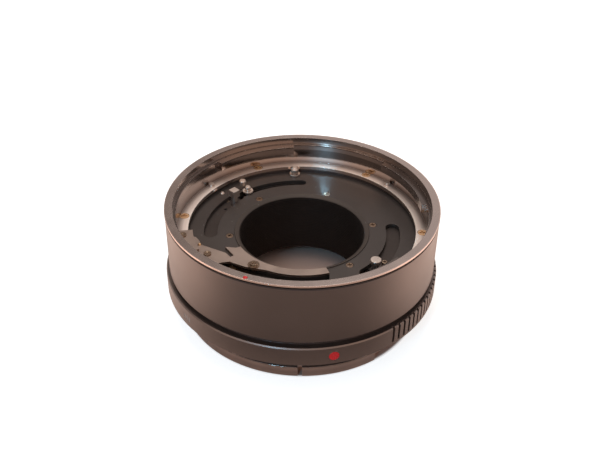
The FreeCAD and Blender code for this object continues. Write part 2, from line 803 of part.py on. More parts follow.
def make_grip_ring():
    """Lower ring with a patch of grip grooves, a red dot and plain tick marks."""
    low = flange_z + s.grip_lift
    inner = neck_radius + s.slip_gap
    flange_seat = flange_radius + s.slip_gap
    profile = [
        (flange_seat, low),
        (grip_radius - s.grip_edge, low),
        (grip_radius, low + s.grip_edge),
        (grip_radius, grip_top_z - s.grip_edge),
        (grip_radius - s.grip_edge, grip_top_z),
        (inner, grip_top_z),
        (inner, rear_plate_low_z),
        (flange_seat, rear_plate_low_z),
    ]
    cuts = []
    for index in range(GRIP_GROOVES):
        angle = s.groove_start + s.groove_pitch * index
        cuts.append(block(grip_radius - s.groove_depth, grip_radius + OVER, s.groove_width,
                          low + s.groove_foot, grip_top_z + OVER, angle))
    for index in range(TICKS):
        angle = s.tick_angle + s.tick_pitch * index
        cuts.append(block(grip_radius - s.tick_depth, grip_radius + OVER, s.tick_width,
                          mid_grip_z - s.tick_height / 2, mid_grip_z + s.tick_height / 2, angle))
    cuts.append(radial_rod(s.rear_dot_radius + s.slip_gap, grip_radius - s.dot_depth,
                           grip_radius + OVER, mid_grip_z, s.rear_dot_angle))
    for index in range(GRUB_SCREWS):
        cuts.append(radial_rod(s.grub_radius + s.slip_gap, inner - OVER, grip_radius + OVER,
                               mid_grip_z, s.grub_angle + s.grub_pitch * index))
    finished(cut(turned(profile), *cuts), "grip_ring")
    dot = radial_rod(s.rear_dot_radius, grip_radius - s.dot_depth, grip_radius,
                     mid_grip_z, s.rear_dot_angle)
    finished(dot, "rear_index_dot")


def make_grip_ring_screws():
    """Grub screws that hold the grip ring on the barrel's neck."""
    screws = []
    for index in range(GRUB_SCREWS):
        angle = s.grub_angle + s.grub_pitch * index
        end = grip_radius - s.grub_sink
        rod = radial_rod(s.grub_radius, neck_radius - s.grub_bite, end, mid_grip_z, angle)
        socket = radial_rod(s.grub_radius / 2, end - s.grub_socket, grip_radius,
                            mid_grip_z, angle)
        screws.append(cut(rod, socket))
    finished(group(screws), "grip_ring_screws")


def make_front_plate():
    """Black cover over the coupling rings, with the slots for their pins."""
    low = plate_under_z
    disc = tube(lip_radius + s.slip_gap, plate_radius, low, plate_z)
    under = low - 1
    over = plate_z + 1
    window = common(
        sector(window_inner, window_outer, s.window_start, QUARTER, under, over),
        make_window_box(under, over),
    )
    cuts = [
        arc_slot(drive_slot_circle, s.drive_slot_half, s.right_slot_end - s.right_slot_length,
                 s.right_slot_length, under, over),
        arc_slot(drive_slot_circle, s.drive_slot_half, s.left_slot_end - s.left_slot_length,
                 s.left_slot_length, under, over),
        arc_slot(post_slot_circle, s.post_slot_half, s.post_slot_end, s.post_slot_length,
                 under, over),
        window,
    ]
    for angle in screw_places(s.plate_screw_start):
        sunk = plate_z - s.plate_head_height - s.slip_gap
        cuts.append(cylinder(s.plate_head_radius + s.slip_gap, sunk, over,
                             at=plate_screw_circle, angle=angle))
        cuts.append(cylinder(ledge_hole_radius, under, over,
                             at=plate_screw_circle, angle=angle))
    for circle, angle, radius in fixed_pin_seats():
        cuts.append(cylinder(radius + s.slip_gap, under, over, at=circle, angle=angle))
    finished(cut(disc, *cuts), "front_plate")


def make_window_box(low, high):
    """Everything left of the window's straight end."""
    box = doc.addObject("Part::Box", "left_of_edge")
    bind(box, "Length", window_outer + s.window_edge)
    bind(box, "Width", window_outer)
    bind(box, "Height", high - low)
    return place(box, -window_outer, -window_outer, low)


def fixed_pin_seats():
    """Circle, angle and shank radius of everything riveted or screwed in the plate."""
    return [
        (guide_pin_circle, s.guide_pin_angle, s.guide_pin_radius / 2),
        (dome_pin_circle, s.dome_pin_angle, s.dome_pin_radius / 2),
        (rivet_circle, s.rivet_angle, s.rivet_radius / 2),
        (lobe_screw_circle, s.lobe_screw_angle, s.fine_thread_radius),
        (strip_outer, s.shoulder_angle, s.fine_thread_radius),
        (bracket_pip_circle, s.bracket_pip_angle, s.rivet_radius / 2),
    ]


def make_front_plate_fittings():
    """Screws, guide pins and the small rivet of the front plate."""
    screws = []
    for angle in screw_places(s.plate_screw_start):
        screws.append(screw(plate_screw_circle, angle, plate_z, s.plate_head_radius,
                            s.plate_head_height, s.fine_thread_radius, s.plate_screw_length))
    finished(group(screws), "front_plate_screws")

    at, angle = guide_pin_circle, s.guide_pin_angle
    bevel = s.guide_pin_radius / 4
    top = plate_z + s.guide_pin_rise
    guide = fuse(
        cylinder(s.guide_pin_radius / 2, plate_under_z, plate_z, at=at, angle=angle),
        cylinder(s.guide_pin_radius, plate_z, top - bevel, at=at, angle=angle),
        cone(s.guide_pin_radius, s.guide_pin_radius - bevel, top - bevel, top, at=at, angle=angle),
    )
    finished(guide, "round_guide_pin")

    at, angle = dome_pin_circle, s.dome_pin_angle
    flange_top = plate_z + s.dome_flange_thick
    neck_top = flange_top + s.dome_waist_height
    dome_top = plate_z + s.dome_pin_rise
    shoulder = dome_top - s.dome_pin_radius / 2
    dome = fuse(
        cylinder(s.dome_pin_radius / 2, plate_under_z, plate_z, at=at, angle=angle),
        cylinder(s.dome_pin_flange, plate_z, flange_top, at=at, angle=angle),
        cylinder(s.dome_pin_waist, flange_top, neck_top, at=at, angle=angle),
        cylinder(s.dome_pin_radius, neck_top, shoulder, at=at, angle=angle),
        cone(s.dome_pin_radius, s.dome_pin_radius / 2, shoulder, dome_top, at=at, angle=angle),
    )
    finished(dome, "flanged_guide_pin")

    at, angle = rivet_circle, s.rivet_angle
    rivet = fuse(
        cylinder(s.rivet_radius / 2, plate_under_z, plate_z, at=at, angle=angle),
        cone(s.rivet_radius, s.rivet_radius / 2, plate_z, plate_z + s.rivet_rise,
             at=at, angle=angle),
    )
    finished(rivet, "plate_rivet")


def make_baffle_tube():
    """Inner light tube with its sloped lip and the hub that the rings turn on."""
    lip_top = plate_z + s.lip_rise
    profile = [
        (throat_radius, tube_foot_z),
        (lip_radius, tube_foot_z),
        (lip_radius, hub_low_z),
        (hub_radius, hub_low_z),
        (hub_radius, plate_under_z),
        (lip_radius, plate_under_z),
        (lip_radius, lip_top),
        (lip_radius - s.lip_rise, lip_top),
        (throat_radius, lip_top - s.lip_slope),
    ]
    holes = []
    for angle in screw_places(s.plate_screw_start):
        foot = plate_z - s.plate_screw_length - s.clear_gap
        holes.append(cylinder(ledge_hole_radius, foot, plate_under_z + OVER,
                              at=plate_screw_circle, angle=angle))
    holes.append(cylinder(ledge_hole_radius, plate_z - s.plate_screw_length,
                          plate_under_z + OVER, at=strip_outer, angle=s.shoulder_angle))
    for angle in pillar_angles():
        holes.append(cylinder(ledge_hole_radius, hub_low_z - OVER, pillar_screw_tip() + s.clear_gap,
                              at=pillar_circle, angle=angle))
    finished(cut(turned(profile), *holes), "baffle_tube")


def pillar_angles():
    return [s.pillar_start + FULL_TURN / PILLARS * index for index in range(PILLARS)]


def pillar_screw_tip():
    return hub_low_z + s.pillar_screw_bite


def make_bracket_plate():
    """Grey sheet bracket: ledge pad, joggle, lobe and the strip along the lip."""
    low = plate_z
    top = plate_z + s.bracket_thick
    inner = lip_radius + s.slip_gap * 2
    edge = pad_inner + s.bracket_thick
    outline = [polar(edge, s.pad_start)]
    for step, turn in LOBE_BY_PAD:
        outline.append(polar(pad_inner + step, s.pad_start + turn))
    for step, turn in LOBE_BY_STRIP:
        outline.append(polar(strip_outer + step, s.strip_start + turn))
    for turn in LOBE_UNDER_LIP:
        outline.append(polar(inner + LOBE_LIP_GAP, s.strip_start + turn))
    for step, turn in LOBE_OUTSIDE:
        outline.append(polar(strip_outer + step, s.strip_start + turn))
    step, turn = LOBE_CORNER
    outline.append(polar(window_outer + step, s.window_start + turn))
    outline.append(polar(edge, s.window_start + LOBE_EDGE_TURN))
    outline.append(polar(edge, (s.pad_end + s.window_start) / 2))
    outline.append(polar(edge, s.pad_end))
    outline.append(polar(edge, (s.pad_start + s.pad_end) / 2))
    lobe = plate_of(outline, low, s.bracket_thick)
    strip_low = s.strip_start + s.strip_setback
    strip = sector(inner, strip_outer, strip_low, s.strip_end - strip_low, low, top)
    sweep = s.pad_end - s.pad_start
    web = sector(pad_inner, pad_inner + s.bracket_thick, s.pad_start, sweep,
                 low, ledge_z + s.bracket_thick)
    pad = sector(pad_inner, pad_outer, s.pad_start, sweep, ledge_z,
                 ledge_z + s.bracket_thick)
    holes = [
        cylinder(ledge_hole_radius, low - OVER, ledge_z + s.bracket_thick + OVER, at=pad_screw_circle,
                 angle=s.pad_screw_angle),
        cylinder(ledge_hole_radius, low - OVER, top + OVER, at=lobe_screw_circle,
                 angle=s.lobe_screw_angle),
        cylinder(ledge_hole_radius, low - OVER, top + OVER, at=strip_outer,
                 angle=s.shoulder_angle),
        cylinder(s.rivet_radius / 2 + s.slip_gap, low - OVER, top + OVER, at=bracket_pip_circle,
                 angle=s.bracket_pip_angle),
    ]
    finished(cut(fuse(lobe, strip, web, pad), *holes), "bracket_plate")


def make_bracket_fittings():
    """Two small screws, the washer-headed screw and the brass pip of the bracket."""
    top = plate_z + s.bracket_thick
    head = s.bracket_head_height
    screws = [
        screw(pad_screw_circle, s.pad_screw_angle, ledge_z + s.bracket_thick + head,
              s.plate_head_radius, head, s.fine_thread_radius, s.ledge_screw_length),
        screw(lobe_screw_circle, s.lobe_screw_angle, top + head, s.plate_head_radius, head,
              s.fine_thread_radius, s.bracket_thick + s.plate_thick + head),
    ]
    finished(group(screws), "bracket_screws")

    at, angle = strip_outer, s.shoulder_angle
    washer_top = top + s.washer_thick
    washer = cylinder(s.shoulder_head, top, washer_top, at=at, angle=angle)
    boss = screw(at, angle, washer_top + s.plate_head_height, s.plate_head_radius,
                 s.plate_head_height, s.fine_thread_radius, s.plate_screw_length)
    finished(fuse(washer, boss), "bracket_shoulder_screw")

    at, angle = bracket_pip_circle, s.bracket_pip_angle
    pip = fuse(
        cylinder(s.rivet_radius / 2, plate_under_z, top, at=at, angle=angle),
        cone(s.bracket_pip_radius, s.bracket_pip_tip, top, top + s.rivet_rise,
             at=at, angle=angle),
    )
    finished(pip, "bracket_pip")


def make_drive_ring():
    """C-shaped ring with two coupling pins, driven from the camera side."""
    sweep = s.drive_end - s.drive_start
    blank = sector(ring_bore, drive_radius, s.drive_start, sweep, drive_low_z, drive_top_z)
    relief = sector(ring_bore - OVER, drive_relief_radius, s.drive_relief_start,
                    s.drive_relief_end - s.drive_relief_start, drive_low_z - OVER, drive_top_z + OVER)
    cuts = [
        relief,
        cylinder(s.round_pin_radius + s.slip_gap, drive_low_z - OVER, drive_top_z + OVER,
                 at=round_pin_circle, angle=s.round_pin_angle),
        cylinder(s.round_pin_radius + s.slip_gap, drive_low_z - OVER, drive_top_z + OVER,
                 at=square_pin_circle, angle=s.square_pin_angle),
        cylinder(s.ring_hole_radius, drive_low_z - OVER, drive_top_z + OVER,
                 at=ring_hole_circle, angle=s.ring_hole_angle),
        cylinder(ledge_hole_radius, drive_low_z - OVER, drive_top_z + OVER,
                 at=ring_screw_circle, angle=s.ring_screw_angle),
    ]
    for angle in (s.round_pin_angle, s.square_pin_angle):
        cuts.append(cylinder(ledge_hole_radius, drive_low_z - OVER, drive_top_z + OVER,
                             at=fork_screw_circle(), angle=angle))
    finished(cut(blank, *cuts), "drive_ring")
    top = plate_z - s.ring_screw_sink
    ring_screw = screw(ring_screw_circle, s.ring_screw_angle, top, s.rivet_radius,
                       top - drive_top_z, s.fine_thread_radius, top - drive_low_z)
    finished(ring_screw, "drive_ring_screw")


def make_drive_pins():
    """Round-headed and square-headed coupling pins on the drive ring."""
    at, angle = round_pin_circle, s.round_pin_angle
    top = plate_z + s.round_pin_rise
    head_low = plate_z + s.round_pin_rise / 2
    edge = s.round_pin_edge
    pin = fuse(
        cylinder(s.round_pin_radius, drive_low_z, head_low, at=at, angle=angle),
        cylinder(s.round_pin_head, head_low, top - edge, at=at, angle=angle),
        cone(s.round_pin_head, s.round_pin_head - edge, top - edge, top, at=at, angle=angle),
    )
    finished(pin, "round_drive_pin")

    at, angle = square_pin_circle, s.square_pin_angle
    top = plate_z + s.square_pin_rise
    side = s.square_pin_side
    head = doc.addObject("Part::Box", "square_head")
    bind(head, "Length", side)
    bind(head, "Width", side)
    bind(head, "Height", s.square_pin_height)
    turn = angle + s.square_pin_turn
    middle = Size(math.sqrt(0.5), "sqrt(0.5)") * side
    x = at * cosine(angle) - middle * cosine(turn + QUARTER / 2)
    y = at * sine(angle) - middle * sine(turn + QUARTER / 2)
    place(head, x, y, top - s.square_pin_height, Z_AXIS, turn)
    shank = cylinder(s.round_pin_radius, drive_low_z, top - s.square_pin_height,
                     at=at, angle=angle)
    finished(fuse(shank, head), "square_drive_pin")


def fork_screw_circle():
    """Circle of the screws that hold the drive forks to the drive ring."""
    return (fork_leg_inner + fork_leg_outer) / 2


def fork(angle, leg_inner, leg_outer, foot_inner, width, notch, top):
    """A leg that hangs from a ring and ends in a U that opens inwards."""
    leg = block(leg_inner, leg_outer, width, fork_foot_low_z, top, angle)
    foot_top = fork_foot_low_z + s.fork_foot_thick
    foot = block(foot_inner, leg_outer, width, fork_foot_low_z, foot_top, angle)
    gap = block(foot_inner - OVER, leg_inner - s.notch_end_gap, notch, fork_foot_low_z - OVER,
                foot_top + OVER, angle)
    return cut(fuse(leg, foot), gap)


def make_forks():
    """The forks of both rings, with the screws that hold the drive forks."""
    forks = []
    screws = []
    for angle in (s.round_pin_angle, s.square_pin_angle):
        blank = fork(angle, fork_leg_inner, fork_leg_outer, fork_inner,
                     s.drive_fork_width, s.drive_fork_notch, drive_low_z)
        hole = cylinder(ledge_hole_radius, drive_low_z - s.plate_screw_length,
                        drive_low_z + OVER, at=fork_screw_circle(), angle=angle)
        forks.append(cut(blank, hole))
        screws.append(cylinder(s.fine_thread_radius, drive_low_z - s.plate_screw_length,
                               drive_top_z, at=fork_screw_circle(), angle=angle))
    finished(group(forks), "drive_forks")
    finished(group(screws), "drive_fork_screws")
    finished(fork(s.post_angle, release_leg_inner, release_leg_outer, release_fork_inner,
                  s.release_fork_width, s.release_fork_notch, release_low_z), "release_fork")


def make_release_ring():
    """Plain ring under the drive ring, with its flanged post."""
    ring = tube(ring_bore, release_radius, release_low_z, release_top_z)
    hole = cylinder(s.post_radius + s.slip_gap, release_low_z - OVER, release_top_z + OVER,
                    at=post_slot_circle, angle=s.post_angle)
    finished(cut(ring, hole), "release_ring")

    at, angle = post_slot_circle, s.post_angle
    flange_low = plate_z + s.clear_gap
    flange_top = flange_low + s.post_flange_thick
    waist_top = flange_top + s.post_waist_height
    top = plate_z + s.post_rise
    edge = s.post_edge
    post = fuse(
        cylinder(s.post_radius, release_low_z, flange_low, at=at, angle=angle),
        cylinder(s.post_flange, flange_low, flange_top, at=at, angle=angle),
        cylinder(s.post_waist, flange_top, waist_top, at=at, angle=angle),
        cylinder(s.post_tip, waist_top, top - edge, at=at, angle=angle),
        cone(s.post_tip, s.post_tip - edge, top - edge, top, at=at, angle=angle),
    )
    finished(post, "release_post")


def make_ring_supports():
    """Spacer between the rings, keeper under them, pillars and their long screws."""
    inner = hub_radius + s.slip_gap
    finished(tube(inner, spacer_radius, spacer_low_z, spacer_low_z + s.spacer_thick),
             "ring_spacer")
    keeper = tube(lip_radius + s.slip_gap, keeper_radius, keeper_low_z, hub_low_z)
    holes = []
    for angle in pillar_angles():
        holes.append(cylinder(ledge_hole_radius, keeper_low_z - OVER, hub_low_z + OVER,
                              at=pillar_circle, angle=angle))
    holes.append(cylinder(s.spring_post_radius + s.slip_gap, keeper_low_z - OVER, hub_low_z + OVER,
                          at=ring_bore, angle=s.spring_post_angle))
    finished(cut(keeper, *holes), "ring_keeper")

    pillars = []
    screws = []
    for angle in pillar_angles():
        post = cylinder(s.pillar_radius, rear_plate_top_z, keeper_low_z,
                        at=pillar_circle, angle=angle)
        hole = cylinder(ledge_hole_radius, rear_plate_top_z - OVER, keeper_low_z + OVER,
                        at=pillar_circle, angle=angle)
        pillars.append(cut(post, hole))
        head_top = rear_plate_low_z + s.plate_head_height
        head = cylinder(s.pillar_head_radius, rear_plate_low_z, head_top,
                        at=pillar_circle, angle=angle)
        shank = cylinder(s.fine_thread_radius, head_top, pillar_screw_tip(),
                         at=pillar_circle, angle=angle)
        slot = block(pillar_circle - s.pillar_head_radius - OVER,
                     pillar_circle + s.pillar_head_radius + OVER, s.pillar_head_radius / 3,
                     rear_plate_low_z - OVER, rear_plate_low_z + s.plate_head_height / 2, angle)
        screws.append(cut(fuse(head, shank), slot))
    finished(group(pillars), "plate_pillars")
    finished(group(screws), "pillar_screws")
    anchor = cylinder(s.spring_post_radius, return_spring_z - s.spring_post_tail, hub_low_z,
                      at=ring_bore, angle=s.spring_post_angle)
    finished(anchor, "spring_post")


def make_rear_plate():
    """Black plate behind the rings, with a slot for each fork's travel."""
    plate = tube(lip_radius + s.slip_gap, rear_plate_radius, rear_plate_low_z,
                 rear_plate_top_z)
    under = rear_plate_low_z - 1
    over = rear_plate_top_z + 1
    drive_half = TO_DEGREES * (s.drive_fork_width / 2 + s.sweep_gap) / fork_inner
    release_half = TO_DEGREES * (s.release_fork_width / 2 + s.sweep_gap) / release_fork_inner
    inner = fork_inner - s.clear_gap
    outer = fork_leg_outer + s.clear_gap
    cuts = []
    for angle in (s.round_pin_angle, s.square_pin_angle):
        cuts.append(sector(inner, outer, angle - drive_half, s.drive_turn + drive_half * 2,
                           under, over))
    cuts.append(sector(release_leg_inner - s.release_slot_room,
                       release_leg_outer + s.clear_gap,
                       s.post_angle - s.release_turn - release_half,
                       s.release_turn + release_half * 2, under, over))
    for angle in pillar_angles():
        cuts.append(cylinder(s.pillar_head_radius + s.slip_gap, under,
                             rear_plate_low_z + s.plate_head_height,
                             at=pillar_circle, angle=angle))
        cuts.append(cylinder(ledge_hole_radius, under, over, at=pillar_circle, angle=angle))
    for angle in screw_places(s.rear_screw_start):
        cuts.append(cylinder(ledge_hole_radius, under, over, at=rear_screw_circle,
                             angle=angle))
    finished(cut(plate, *cuts), "rear_plate")


def make_rear_mount_ring():
    """Bright rear bayonet with four lugs and the notch for the camera's lock pin."""
    profile = [
        (male_bore, 0.0),
        (male_radius - s.male_edge, 0.0),
        (male_radius, s.male_edge),
        (male_radius, flange_z),
        (flange_radius, flange_z),
        (flange_radius, rear_plate_low_z),
        (male_bore, rear_plate_low_z),
    ]
    lug_top = flange_z - (rim_z - claw_low_z) - s.lug_gap
    lugs = []
    lug_places = (
        (s.lug_a_start, s.lug_a_span),
        (s.lug_b_start, s.lug_b_span),
        (s.lug_c_start, s.lug_c_span),
        (s.lug_d_start, s.lug_d_span),
    )
    for start, span in lug_places:
        inner = (male_bore + male_radius) / 2
        lugs.append(sector(inner, lug_radius, start, span, lug_top - s.lug_thick, lug_top))
    notch = s.lock_pin_radius + s.clear_gap / 2
    cuts = [
        cylinder(notch, -OVER, s.lock_notch_height, at=male_radius + s.lock_notch_offset,
                 angle=s.lock_angle),
    ]
    for angle in screw_places(s.rear_screw_start):
        cuts.append(cylinder(s.rear_head_radius + s.slip_gap, flange_z - OVER,
                             flange_z + s.plate_head_height + s.slip_gap,
                             at=rear_screw_circle, angle=angle))
        cuts.append(cylinder(ledge_hole_radius, flange_z - OVER, rear_plate_low_z + OVER,
                             at=rear_screw_circle, angle=angle))
    finished(cut(fuse(turned(profile), *lugs), *cuts), "rear_mount_ring")

    screws = []
    for angle in screw_places(s.rear_screw_start):
        head_top = flange_z + s.plate_head_height
        head = cylinder(s.rear_head_radius, flange_z, head_top, at=rear_screw_circle,
                        angle=angle)
        shank = cylinder(s.fine_thread_radius, head_top, flange_z + s.rear_screw_length,
                         at=rear_screw_circle, angle=angle)
        bars = cross_recess(rear_screw_circle, angle, flange_z, s.rear_head_radius * RECESS_SPAN,
                            s.plate_head_height * RECESS_DEPTH)
        screws.append(cut(fuse(head, shank), *bars))
    finished(group(screws), "rear_mount_screws")


def make_lock_pin():
    """Sprung pin behind a lens lug, with the cross pin that the unlocking ring moves."""
    at, angle = lock_circle, s.lock_angle
    top = ledge_z + s.lock_pin_rise
    edge = s.lock_pin_radius / 2
    shaft = fuse(
        cylinder(s.lock_pin_radius, lock_pin_foot_z, top - edge, at=at, angle=angle),
        cone(s.lock_pin_radius, s.lock_pin_radius / 2, top - edge, top, at=at, angle=angle),
    )
    eye = radial_rod(s.cross_pin_radius + s.slip_gap, lock_circle - s.lock_pin_radius * 2,
                     lock_circle + s.lock_pin_radius / 2, cross_pin_z, angle)
    finished(cut(shaft, eye), "lock_pin")
    finished(radial_rod(s.cross_pin_radius, cross_pin_inner,
                        lock_circle + s.lock_pin_radius / 2, cross_pin_z, angle),
             "lock_cross_pin")


def make_unlocking_ring():
    """Turning ring whose sloped cam slot pulls the lock pin down."""
    ring = tube(unlock_inner, unlock_outer, unlock_low_z, unlock_top_z)
    cam_start = s.lock_angle - s.unlock_turn - s.cam_margin
    cam = sector(unlock_outer - s.cam_wall, unlock_outer, cam_start,
                 s.unlock_turn + s.cam_margin * 2, unlock_low_z, cross_pin_z + s.cam_rise)
    lap = block(unlock_outer - s.thumb_lap - s.slip_gap, unlock_outer + OVER,
                s.thumb_arm_width + s.slip_gap * 2, lap_z(), unlock_top_z + OVER, s.thumb_angle)
    hole = cylinder(ledge_hole_radius, unlock_low_z - OVER, unlock_top_z + OVER,
                    at=thumb_screw_circle(), angle=s.thumb_angle)
    finished(cut(fuse(ring, cam), cam_slot(), lap, hole), "unlocking_ring")

    clips = []
    for low in (clip_low_z(), clip_high_z()):
        clips.append(sector(clip_inner, clip_outer, s.clip_start, s.clip_span, low,
                            low + s.clip_thick))
    finished(group(clips), "unlocking_ring_clips")


def cam_slot():
    """Sloped slot in the cam wall: a bar lying radially, tilted by the cam's slope."""
    run = unlock_outer * s.unlock_turn * TO_RADIANS
    half = s.cross_pin_radius + s.cam_gap
    inner = unlock_outer - s.cam_wall * 2
    depth = s.cam_wall * 3
    over = half * 2
    rise = s.lock_travel * over / run
    high = cross_pin_z + rise
    low = cross_pin_z - s.lock_travel - rise
    points = [
        (over, high + half),
        (-run - over, low + half),
        (-run - over, low - half),
        (over, high - half),
    ]
    body = doc.addObject("PartDesign::Body", "cam_slot")
    sketch = draw(body, "XZ_Plane", points)
    feature = body.newObject("PartDesign::Pad", "pad")
    feature.Profile = sketch
    bind(feature, "Length", depth)
    body.Tip = feature
    # The pad grows towards -Y from the sketch, so it starts at the cam wall's inner side
    place(body, 0, -inner, 0)
    return place(group([body]), 0, 0, 0, Z_AXIS, s.lock_angle - QUARTER * 3)


def thumb_screw_circle():
    """Circle of the screw that joins thumb piece and unlocking ring."""
    return unlock_outer - s.thumb_lap / 2


def make_thumb_piece():
    """Outside thumb piece on an arm that lies on the unlocking ring."""
    angle = s.thumb_angle
    arm = block(unlock_outer - s.thumb_lap, barrel_radius + s.clear_gap + s.thumb_thick / 3,
                s.thumb_arm_width, lap_z(), unlock_top_z, angle)
    middle = (lap_z() + unlock_top_z) / 2
    pad_low = middle - s.thumb_height / 2
    pad_high = middle + s.thumb_height / 2
    inner = barrel_radius + s.clear_gap
    outer = inner + s.thumb_thick
    span = TO_DEGREES * s.thumb_width / barrel_radius
    pad = sector(inner, outer, angle - span / 2, span, pad_low, pad_high)
    grooves = []
    for index in range(s_count("thumb_ridges")):
        share = (index + 0.5) / s_count("thumb_ridges") - 0.5
        grooves.append(block(outer - s.thumb_ridge, outer + OVER, s.thumb_groove_width,
                             pad_low - OVER, pad_high + OVER, angle + span * share))
    hole = cylinder(ledge_hole_radius, lap_z() - OVER, unlock_top_z + OVER,
                    at=thumb_screw_circle(), angle=angle)
    finished(cut(fuse(arm, pad), hole, *grooves), "unlocking_thumb_piece")
    pin = cylinder(s.fine_thread_radius, unlock_low_z, unlock_top_z,
                   at=thumb_screw_circle(), angle=angle)
    finished(pin, "thumb_piece_rivet")


def s_count(name):
    """A whole number from the sheet's values."""
    return int(SIZES[name])


def biarc(start, start_way, end, end_way):
    """Two arcs that join two points smoothly along the given directions."""
    chord = end - start
    both = start_way + end_way
    square = chord.dot(chord)
    slope = chord.dot(both)
    bend = 2 * (1 - start_way.dot(end_way))
    reach = (-slope + math.sqrt(slope * slope + bend * square)) / bend
    first_corner = start + start_way * reach
    last_corner = end - end_way * reach
    joint = (first_corner + last_corner) * 0.5
    arcs = []
    for low, corner, high in ((start, first_corner, joint), (joint, last_corner, end)):
        middle = (low + high) * 0.5
        half = (high - low).Length / 2
        rise = corner - middle
        sag = half * math.tan(math.atan2(rise.Length, half) / 2)
        arcs.append(Part.Arc(low, middle + rise.normalize() * sag, high).toShape())
    return arcs


def coil(label, start, end, radius, wire_radius, turns):
    """A round-wire spring between two points, with a straight bit at each end."""
    way = (end - start).normalize()
    side = way.cross(X_AXIS if abs(way.dot(X_AXIS)) < 0.9 else Y_AXIS).normalize()
    other = way.cross(side)
    length = (end - start).Length
    lead = wire_radius * 2
    quarters = turns * 4
    pitch = length / turns
    rise = length / (turns * 2 * math.pi)
    slant = math.hypot(radius, rise)
    places = []
    ways = []
    for index in range(quarters + 1):
        turn = math.radians(QUARTER) * index
        outward = side * math.cos(turn) + other * math.sin(turn)
        onward = other * math.cos(turn) - side * math.sin(turn)
        places.append(start + outward * radius + way * (length * index / quarters))
        ways.append(onward * (radius / slant) + way * (rise / slant))
    edges = [Part.LineSegment(places[0] - ways[0] * lead, places[0]).toShape()]
    for index in range(quarters):
        edges.extend(biarc(places[index], ways[index], places[index + 1], ways[index + 1]))
    edges.append(Part.LineSegment(places[-1], places[-1] + ways[-1] * lead).toShape())
    path = Part.Wire(edges)
    section = Part.Wire(Part.makeCircle(wire_radius, places[0] - ways[0] * lead, ways[0]))
    shell = Part.BRepOffsetAPI.MakePipeShell(path)
    shell.add(section)
    shell.build()
    shell.makeSolid()
    item = doc.addObject("Part::Feature", label)
    item.Shape = shell.shape()
    print(label, "least gap between turns", round(pitch * radius / slant - wire_radius * 2, 3))
    return finished(item, label)


def make_springs():
    """Lock spring under the lock pin, and the release ring's return spring."""
    x, y = polar(lock_circle, s.lock_angle)
    low = FreeCAD.Vector(x, y, spring_seat_z + s.lock_wire_radius * 3)
    high = FreeCAD.Vector(x, y, lock_pin_foot_z - s.lock_wire_radius * 3)
    coil("lock_spring", low, high, float(s.lock_coil_radius), float(s.lock_wire_radius),
         s_count("lock_coil_turns"))

    circle = (release_leg_inner + release_leg_outer) / 2
    across = math.degrees(s.release_fork_width / 2 / circle)
    x, y = polar(float(circle), s.post_angle + across)
    moving = FreeCAD.Vector(x, y, return_spring_z)
    x, y = polar(ring_bore, s.spring_post_angle)
    fixed = FreeCAD.Vector(x, y, return_spring_z)
    way = (fixed - moving).normalize()
    room = float(s.return_wire_radius) * 4
    coil("release_return_spring", moving + way * room,
         fixed - way * (room + s.spring_post_radius), float(s.return_coil_radius),
         float(s.return_wire_radius), s_count("return_coil_turns"))


def check_objects():
    """Stop on any failed object or empty or broken shape."""
    for item in doc.Objects:
        if "Invalid" in item.State or "Error" in item.State:
            raise RuntimeError(f"{item.Label} failed: {item.State}")
    for item in PARTS:
        if item.Shape.isNull() or not item.Shape.isValid() or not item.Shape.Solids:
            raise RuntimeError(f"{item.Label} has no valid solid")


def write_parts():
    os.makedirs("parts", exist_ok=True)
    for item in PARTS:
        item.Shape.exportStep(f"parts/{item.Label}.step")
        print(item.Label, len(item.Shape.Solids), round(item.Shape.Volume, 2))


make_front_mount_ring()
make_front_mount_fittings()
make_outer_barrel()
make_grip_ring()
make_grip_ring_screws()
make_front_plate()
make_front_plate_fittings()
make_baffle_tube()
make_bracket_plate()
make_bracket_fittings()
make_drive_ring()
make_drive_pins()
make_forks()
make_release_ring()
make_ring_supports()
make_rear_plate()
make_rear_mount_ring()
make_lock_pin()
make_unlocking_ring()
make_thumb_piece()
make_springs()
doc.recompute()
check_objects()
write_parts()
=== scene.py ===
import math

import bmesh
import bpy
from bpy.props import FloatProperty, FloatVectorProperty, IntProperty, PointerProperty
from mathutils import Matrix, Vector


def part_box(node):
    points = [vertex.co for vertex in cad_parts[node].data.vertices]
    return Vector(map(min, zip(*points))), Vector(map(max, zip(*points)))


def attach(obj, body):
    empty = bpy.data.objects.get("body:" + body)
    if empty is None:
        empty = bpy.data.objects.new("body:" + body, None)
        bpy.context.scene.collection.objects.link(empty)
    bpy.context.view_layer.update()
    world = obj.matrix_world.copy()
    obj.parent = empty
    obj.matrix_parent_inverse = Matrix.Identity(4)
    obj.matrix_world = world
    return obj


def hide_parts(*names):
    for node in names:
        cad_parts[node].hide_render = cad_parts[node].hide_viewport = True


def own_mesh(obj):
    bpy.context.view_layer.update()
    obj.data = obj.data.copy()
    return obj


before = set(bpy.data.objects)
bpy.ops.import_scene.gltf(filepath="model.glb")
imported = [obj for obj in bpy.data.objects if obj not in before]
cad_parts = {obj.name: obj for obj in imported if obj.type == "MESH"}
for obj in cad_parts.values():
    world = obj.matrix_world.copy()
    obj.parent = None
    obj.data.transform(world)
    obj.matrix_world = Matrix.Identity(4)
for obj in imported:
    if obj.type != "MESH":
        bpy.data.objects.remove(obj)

bl_info = {
    "name": "Macro extension tube",
    "version": (1, 0, 0),
    "blender": (4, 5, 0),
    "location": "3D View > Sidebar > Extension Tube",
    "description": "Rounded edges, screws, ribs, finishes and stage of a macro extension tube",
    "category": "Object",
}

MM = 0.001
CASING = "casing"
DRIVE = "drive_ring_set"
RELEASE = "release_ring_set"
PIN = "lock_pin_set"
UNLOCK = "unlocking_ring_set"

